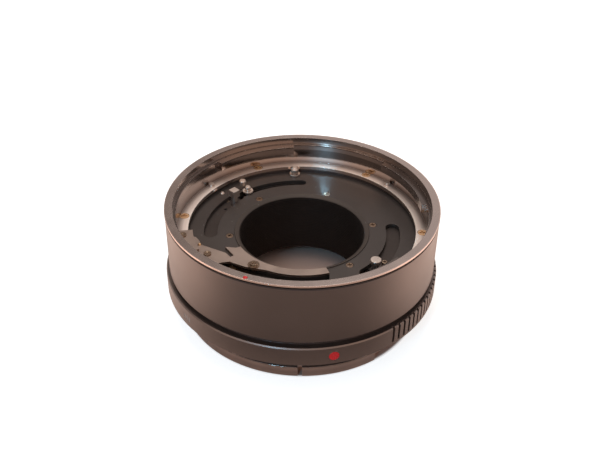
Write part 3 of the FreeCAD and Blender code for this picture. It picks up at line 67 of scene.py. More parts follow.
# Bends under this angle belong to one curved face; bends over it are real edges
FLAT_BEND = math.radians(0.6)
SHARP_BEND = math.radians(30)
MERGE = 2e-6

# Places at which a finish changes, or at which painted shade or painted light begins and ends:
# heights over the end of the rear bayonet, radii from the axis
# Painted shade in the barrel's groove and in the gap under the rim
BARREL_GROOVE_SHADE = (15.25 * MM, 16.3 * MM)
RIM_GAP_SHADE = (35.0 * MM, 35.61 * MM)
# Painted highlight on the top of the baffle tube's lip, above this slope
LIP_LIGHT_SLOPE = (24.9 * MM, 25.3 * MM)
# Bands of painted shade at the claw step and the lug seam, bands of painted light on the rim's
# face and round the rear bayonet
CLAW_STEP_SHADE = (33.9 * MM, 34.4 * MM)
RIM_FACE_LIGHT = (36.35 * MM, 36.6 * MM)
LUG_SEAM_SHADOW = (3.25 * MM, 3.7 * MM)
REAR_HIGHLIGHT_BAND = (6.9 * MM, 7.6 * MM)
# The rim's outer side: radius of its face, and the height where its painted highlight turns into
# painted shadow
RIM_SIDE = 41.3 * MM
RIM_SIDE_SHADE_LINE = (35.92 * MM, 36.0 * MM)
# Painted shade in the ledge's outer corner, below this height
LEDGE_CORNER_SHADE = (36.1 * MM, 38.0 * MM)
LEDGE_LIMIT = 32.5 * MM
LEDGE_TO_CLAW = (30 * MM, 33 * MM)
# Painted light on the walls at the far side of the front bayonet
FAR_WALL_LIGHT = (8 * MM, 30 * MM)
BORE_RADIUS = 19.3 * MM
RIM_HEIGHT = 36.5 * MM

# Black metal: how much lighter its rubbed edges are, how dark the painted shade in its hollows is
# and how dull the hollows are
RUBBED_BLACK = 3.4
PAINTED_HOLLOW_SHADE = 0.1
HOLLOW_ROUGHNESS = 0.95

# Screws drawn by the screw tree
HEAD_HEIGHT = 0.5 * MM
SHANK_RADIUS = 0.7 * MM

# Paint ticks on the grip ring: first angle and step; depth, width and height of a tick
TICK_SINK = 0.11 * MM
TICK_ANGLES = (math.radians(216.5), math.radians(1.6))
TICK_SIZE = (0.05 * MM, 0.33 * MM, 1.96 * MM)
TICK_LEVEL = 11.8 * MM

# The points on one turn of a coil's wire
COIL_STEPS = 28

# Floor: its radius, distances from the tube's axis, the painted shadow under the tube, and the
# shades of the table that metal mirrors instead
FLOOR_RADIUS = 1.6
FOOT_SHADOW = (0.0368, 0.0380)
SHADOW_SLOPE = (-0.020, 0.006)
TABLE_EDGE = (0.044, 0.060)
DIM_RING = (0.060, 0.068)
WHITE = (1.0, 1.0, 1.0)
SHADOW_FRONT, SHADOW_BACK = (0.36, 0.23, 0.185), (0.66, 0.47, 0.40)
WARM_TABLE, FAR_TABLE, DIM_TABLE = (1.0, 0.74, 0.62), (0.42, 0.31, 0.26), (0.10, 0.06, 0.05)

# Camera: width of its sensor in mm and of its picture in pixels
SENSOR_WIDTH = 36.0
PICTURE_WIDTH = 600.0


# ---- properties


class TubeSizes(bpy.types.PropertyGroup):
    """Sizes that the CAD model leaves open"""

    edge_large: FloatProperty(
        name="Casing edges", description="Rounding of the edges on rings and casing",
        default=0.0001, min=0.00002, max=0.0003, precision=5, subtype="DISTANCE", unit="LENGTH")
    edge_small: FloatProperty(
        name="Small edges", description="Rounding of the edges on pins and plates",
        default=0.00005, min=0.00001, max=0.0001, precision=5, subtype="DISTANCE", unit="LENGTH")
    head_edge: FloatProperty(
        name="Screw head edge", description="Bevel round each screw's head",
        default=0.00012, min=0.00002, max=0.0003, precision=5, subtype="DISTANCE", unit="LENGTH")
    rib_pitch: FloatProperty(
        name="Rib pitch", description="Distance from one light-trap rib in the bore to the next",
        default=0.00062, min=0.0003, max=0.002, precision=5, subtype="DISTANCE", unit="LENGTH")
    rib_height: FloatProperty(
        name="Rib height", description="How far a rib stands out of the bore's wall",
        default=0.00022, min=0.00005, max=0.0006, precision=5, subtype="DISTANCE", unit="LENGTH")
    rib_count: IntProperty(
        name="Ribs", description="Number of ribs in the bore", default=31, min=1, max=60)
    turn_seed: IntProperty(
        name="Screw turn seed", description="Seed of the angle that each screw stopped at",
        default=7, min=0, max=1000)


class TubeFinishes(bpy.types.PropertyGroup):
    """Colours and surface values of each finish"""

    casing: FloatVectorProperty(
        name="Casing black", description="Satin black of barrel and grip ring",
        default=(0.020, 0.0125, 0.010), min=0, max=1, size=3, subtype="COLOR")
    plate: FloatVectorProperty(
        name="Plate black", description="Semi-matt black of the front plate and the rings",
        default=(0.029, 0.022, 0.019), min=0, max=1, size=3, subtype="COLOR")
    baffle: FloatVectorProperty(
        name="Baffle black", description="Deep matt black of the light path",
        default=(0.010, 0.008, 0.007), min=0, max=1, size=3, subtype="COLOR")
    # Painted highlight: colour of the lit top of the baffle tube's lip
    lit_lip: FloatVectorProperty(
        name="Lip black", description="Lighter black of the baffle tube's lip",
        default=(0.060, 0.046, 0.038), min=0, max=1, size=3, subtype="COLOR")
    bright: FloatVectorProperty(
        name="Bright metal", description="Turned and plated bayonet rings",
        default=(0.485, 0.415, 0.38), min=0, max=1, size=3, subtype="COLOR")
    steel: FloatVectorProperty(
        name="Pin steel", description="Pins, forks and springs",
        default=(0.56, 0.49, 0.44), min=0, max=1, size=3, subtype="COLOR")
    screws: FloatVectorProperty(
        name="Screw steel", description="Darkened steel of the cross-head screws",
        default=(0.33, 0.24, 0.175), min=0, max=1, size=3, subtype="COLOR")
    brass: FloatVectorProperty(
        name="Brass", description="Ledge screws, pillars and spacer",
        default=(0.68, 0.46, 0.28), min=0, max=1, size=3, subtype="COLOR")
    sheet: FloatVectorProperty(
        name="Grey sheet", description="Sheet steel bracket",
        default=(0.44, 0.35, 0.30), min=0, max=1, size=3, subtype="COLOR")
    red: FloatVectorProperty(
        name="Index red", description="Paint of the two index dots",
        default=(0.58, 0.010, 0.014), min=0, max=1, size=3, subtype="COLOR")
    tick: FloatVectorProperty(
        name="Tick paint", description="Pale paint in the engraved ticks",
        default=(0.75, 0.66, 0.60), min=0, max=1, size=3, subtype="COLOR")
    dust: FloatVectorProperty(
        name="Dust", description="Fine dust on upward faces",
        default=(0.30, 0.27, 0.25), min=0, max=1, size=3, subtype="COLOR")
    wear: FloatProperty(
        name="Edge wear", description="Share of the black edges rubbed down to the metal",
        default=0.42, min=0, max=1, subtype="FACTOR")
    dust_amount: FloatProperty(
        name="Dust amount", description="Share of the specks that show",
        default=0.08, min=0, max=1, subtype="FACTOR")


class TubeStage(bpy.types.PropertyGroup):
    """Floor, lamps, world and camera"""

    floor: FloatVectorProperty(
        name="Floor", description="Colour of the pale floor",
        default=(0.80, 0.78, 0.76), min=0, max=1, size=3, subtype="COLOR")
    floor_glow: FloatProperty(
        name="Floor glow", description="White added to the floor that the camera sees",
        default=0.66, min=0, max=1, subtype="FACTOR")
    world: FloatProperty(
        name="World level", description="Strength of the soft light from all round",
        default=0.55, min=0, max=2)
    key: FloatProperty(
        name="Key lamp", description="Power of the large soft lamp",
        default=1.2, min=0, max=20, subtype="POWER", unit="POWER")
    window: FloatProperty(
        name="Window lamp", description="Power of the narrow cool lamp",
        default=0.9, min=0, max=20, subtype="POWER", unit="POWER")
    elevation: FloatProperty(
        name="Camera elevation", description="Camera height above the rim plane",
        default=math.radians(32.9), subtype="ANGLE", unit="ROTATION")
    distance: FloatProperty(
        name="Camera distance", description="Camera to the middle of the rim",
        default=0.249, min=0.05, max=2, precision=4, subtype="DISTANCE", unit="LENGTH")
    focal_pixels: FloatProperty(
        name="Focal length", description="In pixels of a frame 600 wide",
        default=823.3, min=100, max=5000, subtype="PIXEL")
    pan: FloatProperty(
        name="Pan", description="Turn of the camera about its upright",
        default=math.radians(0.14), subtype="ANGLE", unit="ROTATION")
    tilt: FloatProperty(
        name="Tilt", description="Turn of the camera about its level axis",
        default=math.radians(-1.73), subtype="ANGLE", unit="ROTATION")
    roll: FloatProperty(
        name="Roll", description="Turn of the camera about its line of sight",
        default=math.radians(0.87), subtype="ANGLE", unit="ROTATION")


# ---- node helpers


def add(tree, kind, values=None, **settings):
    """A node with some settings, its inputs given as values or as sockets to link from."""
    node = tree.nodes.new(kind)
    for name, value in settings.items():
        setattr(node, name, value)
    for name, value in (values or {}).items():
        if isinstance(value, bpy.types.NodeSocket):
            tree.links.new(value, node.inputs[name])
        else:
            node.inputs[name].default_value = value
    return node


def maths(tree, operation, first, second=0.0, clamp=False):
    return add(tree, "ShaderNodeMath", {0: first, 1: second}, operation=operation,
               use_clamp=clamp).outputs[0]


def times(tree, first, second):
    return maths(tree, "MULTIPLY", first, second)


def plus(tree, first, second):
    return maths(tree, "ADD", first, second)


def minus(tree, first, second):
    return maths(tree, "SUBTRACT", first, second)


def between(tree, level, low, high):
    """1 where a level lies between two heights."""
    return times(tree, maths(tree, "GREATER_THAN", level, low),
                 maths(tree, "LESS_THAN", level, high))


def ramp(tree, value, low, high, out_low=0.0, out_high=1.0, smooth=False):
    """A value mapped from one range to another and kept inside it."""
    values = {"Value": value, "From Min": low, "From Max": high, "To Min": out_low,
              "To Max": out_high}
    return add(tree, "ShaderNodeMapRange", values,
               interpolation_type="SMOOTHSTEP" if smooth else "LINEAR").outputs["Result"]


def soft(tree, value, low, high, out_low=0.0, out_high=1.0):
    """A ramp that eases in and out."""
    return ramp(tree, value, low, high, out_low, out_high, smooth=True)


def mixed(tree, share, first, second):
    """Two colours mixed by a share."""
    node = add(tree, "ShaderNodeMix", {"Factor": share}, data_type="RGBA")
    for socket, value in (("A", first), ("B", second)):
        target = next(i for i in node.inputs if i.name == socket and i.type == "RGBA")
        if isinstance(value, bpy.types.NodeSocket):
            tree.links.new(value, target)
        else:
            target.default_value = (*value, 1.0)
    return next(o for o in node.outputs if o.type == "RGBA")


def noise(tree, where, scale, detail=2.0, roughness=0.5):
    return add(tree, "ShaderNodeTexNoise",
               {"Vector": where, "Scale": scale, "Detail": detail, "Roughness": roughness}
               ).outputs["Fac"]


def axes(tree, vector):
    """A vector's X, Y and Z."""
    return add(tree, "ShaderNodeSeparateXYZ", {"Vector": vector}).outputs


def object_place(tree):
    """Object coordinates, whole and split into X, Y and Z."""
    where = add(tree, "ShaderNodeTexCoord").outputs["Object"]
    return where, axes(tree, where)


def from_axis(tree, parts):
    """Distance from the optical axis."""
    flat = add(tree, "ShaderNodeCombineXYZ", {"X": parts["X"], "Y": parts["Y"]})
    return add(tree, "ShaderNodeVectorMath", {0: flat.outputs[0]}, operation="LENGTH"
               ).outputs["Value"]


def facing_up(tree):
    """1 where a face looks up, -1 where it looks down."""
    return axes(tree, add(tree, "ShaderNodeNewGeometry").outputs["Normal"])["Z"]


def edge_mask(tree):
    """1 on the narrow faces that round an edge."""
    return add(tree, "ShaderNodeAttribute", attribute_name="edge").outputs["Fac"]


def bare_tree(owner, output):
    """The owner's node tree, emptied, and its new output node."""
    owner.use_nodes = True
    owner.node_tree.nodes.clear()
    return owner.node_tree, owner.node_tree.nodes.new(output)


def shader_group(name, sockets_in, sockets_out):
    """An empty group with named value inputs and outputs."""
    group = bpy.data.node_groups.new(name, "ShaderNodeTree")
    for label, default in sockets_in.items():
        socket = group.interface.new_socket(label, in_out="INPUT", socket_type="NodeSocketFloat")
        socket.default_value = default
    for label in sockets_out:
        group.interface.new_socket(label, in_out="OUTPUT", socket_type="NodeSocketFloat")
    return group, group.nodes.new("NodeGroupInput").outputs


def send(group, **results):
    """Links results to the outputs of a group."""
    out = group.nodes.new("NodeGroupOutput")
    for label, socket in results.items():
        group.links.new(socket, out.inputs[label])


def use_group(tree, name, **values):
    """The outputs of a shared effect used with these values."""
    node = tree.nodes.new("ShaderNodeGroup")
    node.node_tree = bpy.data.node_groups[name]
    for label, value in values.items():
        node.inputs[label].default_value = value
    return node.outputs


# ---- shared effects


def make_turned_marks():
    """Fine rings left by the lathe, on faces and on walls, broken up along the way."""
    group, given = shader_group(
        "turned_marks", {"Pitch": 0.0002, "Breakup": 0.4}, ["Height", "Shade"])
    where, parts = object_place(group)
    across = maths(group, "DIVIDE", from_axis(group, parts), given["Pitch"])
    along = maths(group, "DIVIDE", parts["Z"], given["Pitch"])
    rings = add(group, "ShaderNodeCombineXYZ", {"X": across, "Y": along}).outputs[0]
    fine = noise(group, rings, 1.0, 2.0, 0.6)
    broad = noise(group, rings, 0.17, 1.0)
    patches = noise(group, where, 140.0, 1.0)
    kept = minus(group, 1.0, times(group, patches, given["Breakup"]))
    send(group, Height=times(group, plus(group, fine, broad), kept),
         Shade=times(group, broad, kept))


def make_satin_grain():
    """Even grain of a blasted and blackened face."""
    group, given = shader_group("satin_grain", {"Grain": 0.0001}, ["Height", "Shade"])
    where, _ = object_place(group)
    scale = maths(group, "DIVIDE", 1.0, given["Grain"])
    send(group, Height=noise(group, where, scale, 3.0, 0.6),
         Shade=noise(group, where, 90.0, 3.0, 0.55))


def make_edge_wear():
    """Mask of the rounded edges that are rubbed bright, in broken stretches."""
    group, given = shader_group("edge_wear", {"Amount": 0.4, "Patch": 0.002}, ["Mask"])
    where, _ = object_place(group)
    patches = noise(group, where, maths(group, "DIVIDE", 1.0, given["Patch"]), 4.0, 0.65)
    limit = minus(group, 0.78, times(group, given["Amount"], 0.5))
    shown = maths(group, "MULTIPLY", minus(group, patches, limit), 7.0, clamp=True)
    send(group, Mask=times(group, shown, edge_mask(group)))


def make_dust_specks():
    """Mask of small specks that settled on upward faces."""
    group, given = shader_group("dust_specks", {"Amount": 0.15, "Cell": 0.0011}, ["Mask"])
    where, _ = object_place(group)
    scale = maths(group, "DIVIDE", 1.0, given["Cell"])
    cells = add(group, "ShaderNodeTexVoronoi", {"Vector": where, "Scale": scale}).outputs
    tone = add(group, "ShaderNodeSeparateColor", {"Color": cells["Color"]}).outputs
    some = maths(group, "LESS_THAN", tone["Red"], given["Amount"])
    size = ramp(group, tone["Green"], 0.0, 1.0, 0.05, 0.16)
    speck = maths(group, "LESS_THAN", cells["Distance"], size)
    settled_on = ramp(group, facing_up(group), 0.2, 0.8)
    send(group, Mask=times(group, times(group, some, speck), settled_on))


def make_handling():
    """Slow change in gloss from cleaning and fingers."""
    group, given = shader_group("handling", {"Spread": 0.012}, ["Shade"])
    where, _ = object_place(group)
    scale = maths(group, "DIVIDE", 1.0, given["Spread"])
    send(group, Shade=noise(group, where, scale, 4.0, 0.6))


# ---- finishes


def lift(colour, factor):
    """A colour made lighter or darker by a factor."""
    return tuple(min(1.0, c * factor) for c in colour)


def new_finish(name, inputs):
    """The tree and the shader of a new material, with these values in the shader's inputs."""
    tree, out = bare_tree(bpy.data.materials.new(name), "ShaderNodeOutputMaterial")
    shader = add(tree, "ShaderNodeBsdfPrincipled", inputs)
    tree.links.new(shader.outputs["BSDF"], out.inputs["Surface"])
    return tree, shader


def clouded(tree, shade, colour, low, high):
    """A colour that wanders between a darker and a lighter share of itself."""
    return mixed(tree, ramp(tree, shade, 0.3, 0.7), lift(colour, low), lift(colour, high))


def around(tree, shade, middle, spread):
    """A value that wanders to both sides of a middle."""
    return ramp(tree, shade, 0.3, 0.7, middle - spread, middle + spread)


def connect(tree, shader, colour, roughness, height, depth, strength=1.0):
    """Links the colour, the roughness and the bump of a finish."""
    bump = add(tree, "ShaderNodeBump",
               {"Height": height, "Distance": depth, "Strength": strength})
    for label, socket in (("Base Color", colour), ("Roughness", roughness),
                          ("Normal", bump.outputs["Normal"])):
        tree.links.new(socket, shader.inputs[label])


def with_dust(tree, tone, settings, strength):
    dust = use_group(tree, "dust_specks", Amount=settings.dust_amount)["Mask"]
    return mixed(tree, times(tree, dust, strength), tone, tuple(settings.dust))


def black_finish(name, settings, colour, roughness, grain, depth, wear=1.0, specular=0.5,
                 ior=1.5, marks=None, tint=(1.0, 0.80, 0.72), lit_lip=None, painted_shade_spans=None, coat=0.0):
    """A blackened metal face: grain, slow gloss change, worn edges, a little dust, painted shade
    in its hollows and a painted highlight on the top of the lip.
    """
    tree, shader = new_finish(name, {
        "Metallic": 0.0, "Specular IOR Level": specular, "IOR": ior, "Coat Weight": coat,
        "Coat Roughness": 0.28, "Specular Tint": (*tint, 1.0)})
    satin = use_group(tree, "satin_grain", Grain=grain)
    worn = use_group(tree, "edge_wear", Amount=settings.wear * wear, Patch=0.0022)["Mask"]
    hand = use_group(tree, "handling", Spread=0.014)["Shade"]
    tone = clouded(tree, satin["Shade"], colour, low=0.86, high=1.16)
    # Painted highlight: the top of the lip drawn lighter, as if lit
    if lit_lip:
        tone = mixed(tree, soft(tree, object_place(tree)[1]["Z"], *LIP_LIGHT_SLOPE), tone, lit_lip)
    tone = mixed(tree, worn, tone, lift(colour, RUBBED_BLACK))
    gloss = around(tree, hand, roughness, spread=0.045)
    # Painted shade in the hollows: a darker colour, no coat and a dull face
    if painted_shade_spans:
        level = object_place(tree)[1]["Z"]
        inside = plus(tree, *(between(tree, level, *span) for span in painted_shade_spans))
        tone = mixed(tree, inside, tone, lift(colour, PAINTED_HOLLOW_SHADE))
        tree.links.new(ramp(tree, inside, 0.0, 1.0, coat, 0.0), shader.inputs["Coat Weight"])
        gloss = maths(tree, "MAXIMUM", gloss, times(tree, inside, HOLLOW_ROUGHNESS))
    height = satin["Height"]
    if marks:
        turned = use_group(tree, "turned_marks", Pitch=marks, Breakup=0.3)["Height"]
        height = plus(tree, height, times(tree, turned, 1.2))
    connect(tree, shader, with_dust(tree, tone, settings, 0.5), gloss, height, depth)


def turned_metal_finish(name, settings, colour, roughness, pitch, dusty=False, tint=0.10,
                        flat_face_painted_light=2.05, painted_shade_and_light_bands=(), front=False):
    """A lathe-turned bright face: rings in bump and gloss, handling marks, a little dust, and
    painted light and shade: lighter flat faces, bands, lit far walls, a shaded ledge corner,
    highlighted edges and the rim's side.
    """
    tree, shader = new_finish(name, {"Metallic": 1.0})
    turned = use_group(tree, "turned_marks", Pitch=pitch, Breakup=0.45)
    hand = use_group(tree, "handling", Spread=0.009)["Shade"]
    flat = ramp(tree, maths(tree, "ABSOLUTE", facing_up(tree)), 0.6, 0.95)
    shade = ramp(tree, turned["Shade"], 0.25, 0.6)
    dark, light = lift(colour, 1.0 - tint), lift(colour, 1.0 + tint * 0.6)
    # Painted light: flat faces are drawn lighter than walls of the same metal
    tone = mixed(tree, flat, mixed(tree, shade, dark, light),
                 mixed(tree, shade, lift(dark, flat_face_painted_light), lift(light, flat_face_painted_light)))
    _, parts = object_place(tree)
    level = parts["Z"]
    if front:
        reach = from_axis(tree, parts)
        # Painted light: walls on the far side of the mount drawn lighter
        painted_far_wall_light = times(tree, minus(tree, 1.0, flat), ramp(tree, parts["Y"], *FAR_WALL_LIGHT))
        tone = mixed(tree, times(tree, painted_far_wall_light, 0.8), tone, lift(colour, 1.9))
        # Painted shade in the outer corner of the ledge, below the claws
        corner = times(tree, ramp(tree, reach, *LEDGE_CORNER_SHADE),
                       maths(tree, "LESS_THAN", level, LEDGE_LIMIT))
        tone = mixed(tree, corner, tone, lift(colour, 0.8))
    # Bands of painted shade and painted light, by height
    for span, factor in painted_shade_and_light_bands:
        tone = mixed(tree, between(tree, level, *span), tone, lift(colour, factor))
    # Painted highlight on the rounded edges
    tone = mixed(tree, times(tree, edge_mask(tree), 0.75), tone, lift(colour, 1.7))
    if front:
        # The rim's outer side: a painted highlight along its upper edge over a painted shadow line
        # below it
        side = mixed(tree, ramp(tree, level, *RIM_SIDE_SHADE_LINE), (0.015, 0.008, 0.006),
                     (1.0, 0.82, 0.74))
        tone = mixed(tree, maths(tree, "GREATER_THAN", reach, RIM_SIDE), tone, side)
    if dusty:
        tone = with_dust(tree, tone, settings, 0.35)
    blunt = times(tree, flat, ramp(tree, level, *LEDGE_TO_CLAW, 0.36, 0.12))
    gloss = plus(tree, around(tree, hand, roughness, spread=0.03), blunt)
    connect(tree, shader, tone, gloss, turned["Height"], 3e-6)


def plain_metal_finish(name, colour, roughness, grain, depth=3e-6, rubbed_by=1.25):
    """A ground or rolled bright face: grain, stains and gloss change."""
    tree, shader = new_finish(name, {"Metallic": 1.0})
    satin = use_group(tree, "satin_grain", Grain=grain)
    hand = use_group(tree, "handling", Spread=0.004)["Shade"]
    worn = use_group(tree, "edge_wear", Amount=0.6, Patch=0.0012)["Mask"]
    tone = mixed(tree, worn, clouded(tree, satin["Shade"], colour, low=0.82, high=1.08),
                 lift(colour, rubbed_by))
    connect(tree, shader, tone, around(tree, hand, roughness, spread=0.07), satin["Height"], depth)


def paint_finish(name, colour, roughness):
    """Enamel in a shallow seat, slightly uneven, chipped at its rim."""
    tree, shader = new_finish(name, {"Metallic": 0.0, "Coat Weight": 0.15,
                                     "Coat Roughness": 0.12})
    satin = use_group(tree, "satin_grain", Grain=0.00035)
    worn = use_group(tree, "edge_wear", Amount=0.5, Patch=0.0006)["Mask"]
    tone = mixed(tree, worn, clouded(tree, satin["Shade"], colour, low=0.84, high=1.12),
                 lift(colour, 0.45))
    connect(tree, shader, tone, around(tree, satin["Height"], roughness, spread=0.05),
            satin["Height"], 1.2e-5, 0.8)


def make_finishes():
    """Every finish of the tube, by name."""
    f = bpy.context.scene.tube_finishes
    casing, plate, baffle = tuple(f.casing), tuple(f.plate), tuple(f.baffle)
    bright, steel = tuple(f.bright), tuple(f.steel)
    black_finish("satin_black_casing", f, casing, roughness=0.37, grain=0.00016, depth=4e-6,
                 specular=0.75, ior=2.0, coat=0.9, painted_shade_spans=(BARREL_GROOVE_SHADE, RIM_GAP_SHADE))
    black_finish("semi_matt_plate", f, plate, roughness=0.42, grain=0.00013, depth=5e-6,
                 marks=0.0003, specular=0.8, tint=(1.0, 0.88, 0.82))
    black_finish("matt_baffle", f, baffle, roughness=0.62, grain=0.00012, depth=8e-6, wear=0.6,
                 specular=0.3)
    black_finish("matt_lip", f, baffle, roughness=0.50, grain=0.00012, depth=6e-6, specular=0.4,
                 lit_lip=tuple(f.lit_lip))
    black_finish("black_ring", f, lift(plate, 1.15), roughness=0.42, grain=0.00012, depth=5e-6,
                 marks=0.0003)
    turned_metal_finish("bright_bayonet", f, bright, roughness=0.14, pitch=0.00016, dusty=True,
                        painted_shade_and_light_bands=((CLAW_STEP_SHADE, 0.4), (RIM_FACE_LIGHT, 1.15)), front=True)
    turned_metal_finish("bright_rear_bayonet", f, bright, roughness=0.18, pitch=0.0005, tint=0.3,
                        painted_shade_and_light_bands=((LUG_SEAM_SHADOW, 0.25), (REAR_HIGHLIGHT_BAND, 1.6)))
    turned_metal_finish("plain_brass", f, tuple(f.brass), roughness=0.26, pitch=0.00014,
                        flat_face_painted_light=1.1)
    plain_metal_finish("pin_steel", lift(steel, 1.25), roughness=0.42, grain=0.0001)
    plain_metal_finish("spring_steel", lift(steel, 0.8), roughness=0.28, grain=0.0002, depth=2e-6)
    plain_metal_finish("screw_steel", tuple(f.screws), roughness=0.30, grain=0.00015,
                       rubbed_by=3.4)
    plain_metal_finish("grey_sheet", tuple(f.sheet), roughness=0.42, grain=0.00022, depth=5e-6)
    paint_finish("index_red", tuple(f.red), roughness=0.28)
    paint_finish("tick_paint", tuple(f.tick), roughness=0.5)


# ---- piece helpers


def edges(context):
    """Rounding of the large and of the small pieces' edges."""
    return context.scene.tube_sizes.edge_large, context.scene.tube_sizes.edge_small


def settled(data, name):
    """A new object at the origin for a finished mesh or curve."""
    piece = bpy.data.objects.new(name, data)
    bpy.context.scene.collection.objects.link(piece)
    return piece


def baked(maker, name):
    """The evaluated result of an object's modifiers as a plain mesh object."""
    bpy.context.view_layer.update()
    graph = bpy.context.evaluated_depsgraph_get()
    mesh = bpy.data.meshes.new_from_object(maker.evaluated_get(graph), depsgraph=graph)
    old = maker.data
    bpy.data.objects.remove(maker)
    store = bpy.data.meshes if isinstance(old, bpy.types.Mesh) else bpy.data.curves
    store.remove(old)
    mesh.name = name
    return settled(mesh, name)


def stand_in(piece, body, node):
    """Hands a piece to its body in place of a CAD node."""
    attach(piece, body)
    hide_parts(node)


def merged_shape(node):
    """A CAD node's shape with its doubled corners merged."""
    shape = bmesh.new()
    shape.from_mesh(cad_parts[node].data)
    bmesh.ops.remove_doubles(shape, verts=shape.verts[:], dist=MERGE)
    return shape


def rounded_copy(node, name, width, finish, body=CASING):
    """The piece shown for a CAD node: the same shape with its edges rounded."""
    shape = merged_shape(node)
    bmesh.ops.dissolve_limit(shape, angle_limit=FLAT_BEND, verts=shape.verts[:],
                             edges=shape.edges[:])
    edge = shape.faces.layers.float.new("edge")
    sharp = [e for e in shape.edges if e.is_manifold and e.calc_face_angle(0.0) > SHARP_BEND]
    made = bmesh.ops.bevel(shape, geom=sharp, offset=width, offset_type="OFFSET", segments=2,
                           profile=0.5, affect="EDGES", clamp_overlap=True)
    for face in made["faces"]:
        face[edge] = 1.0
    for face in shape.faces:
        face.smooth = True
    mesh = bpy.data.meshes.new(name)
    shape.to_mesh(mesh)
    shape.free()
    maker = settled(mesh, name + "_maker")
    normals = maker.modifiers.new("even_shading", "WEIGHTED_NORMAL")
    normals.weight = 80
    normals.keep_sharp = False
    piece = baked(maker, name)
    piece.data.materials.clear()
    piece.data.materials.append(bpy.data.materials[finish])
    stand_in(piece, body, node)


def face_islands(node):
    """The separate solids of a node, as lists of corners."""
    shape = merged_shape(node)
    left = set(shape.verts)
    islands = []
    while left:
        stack = [left.pop()]
        island = []
        while stack:
            corner = stack.pop()
            island.append(corner.co.copy())
            for link in corner.link_edges:
                other = link.other_vert(corner)
                if other in left:
                    left.remove(other)
                    stack.append(other)
        islands.append(island)
    shape.free()
    islands.sort(key=lambda corners: math.atan2(corners[0].y, corners[0].x))
    return islands


def head_centres(node, top=True):
    """Middle of the head's outer face of each screw in a node."""
    centres = []
    for corners in face_islands(node):
        level = (max if top else min)(c.z for c in corners)
        low_x, high_x = min(c.x for c in corners), max(c.x for c in corners)
        low_y, high_y = min(c.y for c in corners), max(c.y for c in corners)
        centres.append(Vector(((low_x + high_x) / 2, (low_y + high_y) / 2, level)))
    return centres


# ---- geometry trees


def geometry_tree(name, inputs):
    """A tree with a geometry input and output, number inputs and a finish, and its sockets."""
    tree = bpy.data.node_groups.new(name, "GeometryNodeTree")

    def socket(label, kind, way="INPUT"):
        return tree.interface.new_socket(label, in_out=way, socket_type="NodeSocket" + kind)

    socket("Geometry", "Geometry")
    for label, default in inputs.items():
        socket(label, "Int" if isinstance(default, int) else "Float").default_value = default
    socket("Finish", "Material")
    socket("Geometry", "Geometry", "OUTPUT")
    return tree, tree.nodes.new("NodeGroupInput").outputs


def finish_tree(tree, geometry, finish):
    """Makes the geometry real, gives it its finish and sends it out."""
    real = add(tree, "GeometryNodeRealizeInstances", {"Geometry": geometry})
    finished = add(tree, "GeometryNodeSetMaterial",
                   {"Geometry": real.outputs["Geometry"], "Material": finish})
    send(tree, Geometry=finished.outputs["Geometry"])


def run_tree(maker, tree_name, name, values, finish):
    """A tree run on an object with these input values, as a plain mesh object."""
    tree = bpy.data.node_groups[tree_name]
    values = {**values, "Finish": bpy.data.materials[finish]}
    modifier = maker.modifiers.new(tree.name, "NODES")
    modifier.node_group = tree
    for item in tree.interface.items_tree:
        if item.in_out == "INPUT" and item.name in values:
            modifier[item.identifier] = values[item.name]
    return baked(maker, name)


def point_object(name, points):
    """A mesh of loose points."""
    mesh = bpy.data.meshes.new(name)
    mesh.from_pydata([tuple(p) for p in points], [], [])
    return settled(mesh, name)


def line_object(name, points):
    """A poly curve through the given points."""
    curve = bpy.data.curves.new(name, "CURVE")
    curve.dimensions = "3D"
    spline = curve.splines.new("POLY")
    spline.points.add(len(points) - 1)
    for index, point in enumerate(points):
        spline.points[index].co = (*point, 1.0)
    return settled(curve, name)


def vector(tree, **parts):
    return add(tree, "ShaderNodeCombineXYZ", parts).outputs[0]


def moved(tree, geometry, offset):
    return add(tree, "GeometryNodeTransform", {"Geometry": geometry, "Translation": offset}
               ).outputs["Geometry"]


def solid(tree, kind, **values):
    """A round mesh primitive with closed ends."""
    values = {label.replace("_", " "): value for label, value in values.items()}
    return add(tree, kind, values, fill_type="NGON").outputs["Mesh"]


def instances(tree, points, shape, rotation=None):
    turned = {} if rotation is None else {"Rotation": rotation}
    return add(tree, "GeometryNodeInstanceOnPoints",
               {"Points": points, "Instance": shape, **turned}).outputs["Instances"]


def boolean(tree, operation, first, others):
    """A join or a cut of solids."""
    node = add(tree, "GeometryNodeMeshBoolean", operation=operation, solver="EXACT")
    if first:
        tree.links.new(first, node.inputs["Mesh 1"])
    for other in others:
        tree.links.new(other, node.inputs["Mesh 2"])
    return node.outputs["Mesh"]


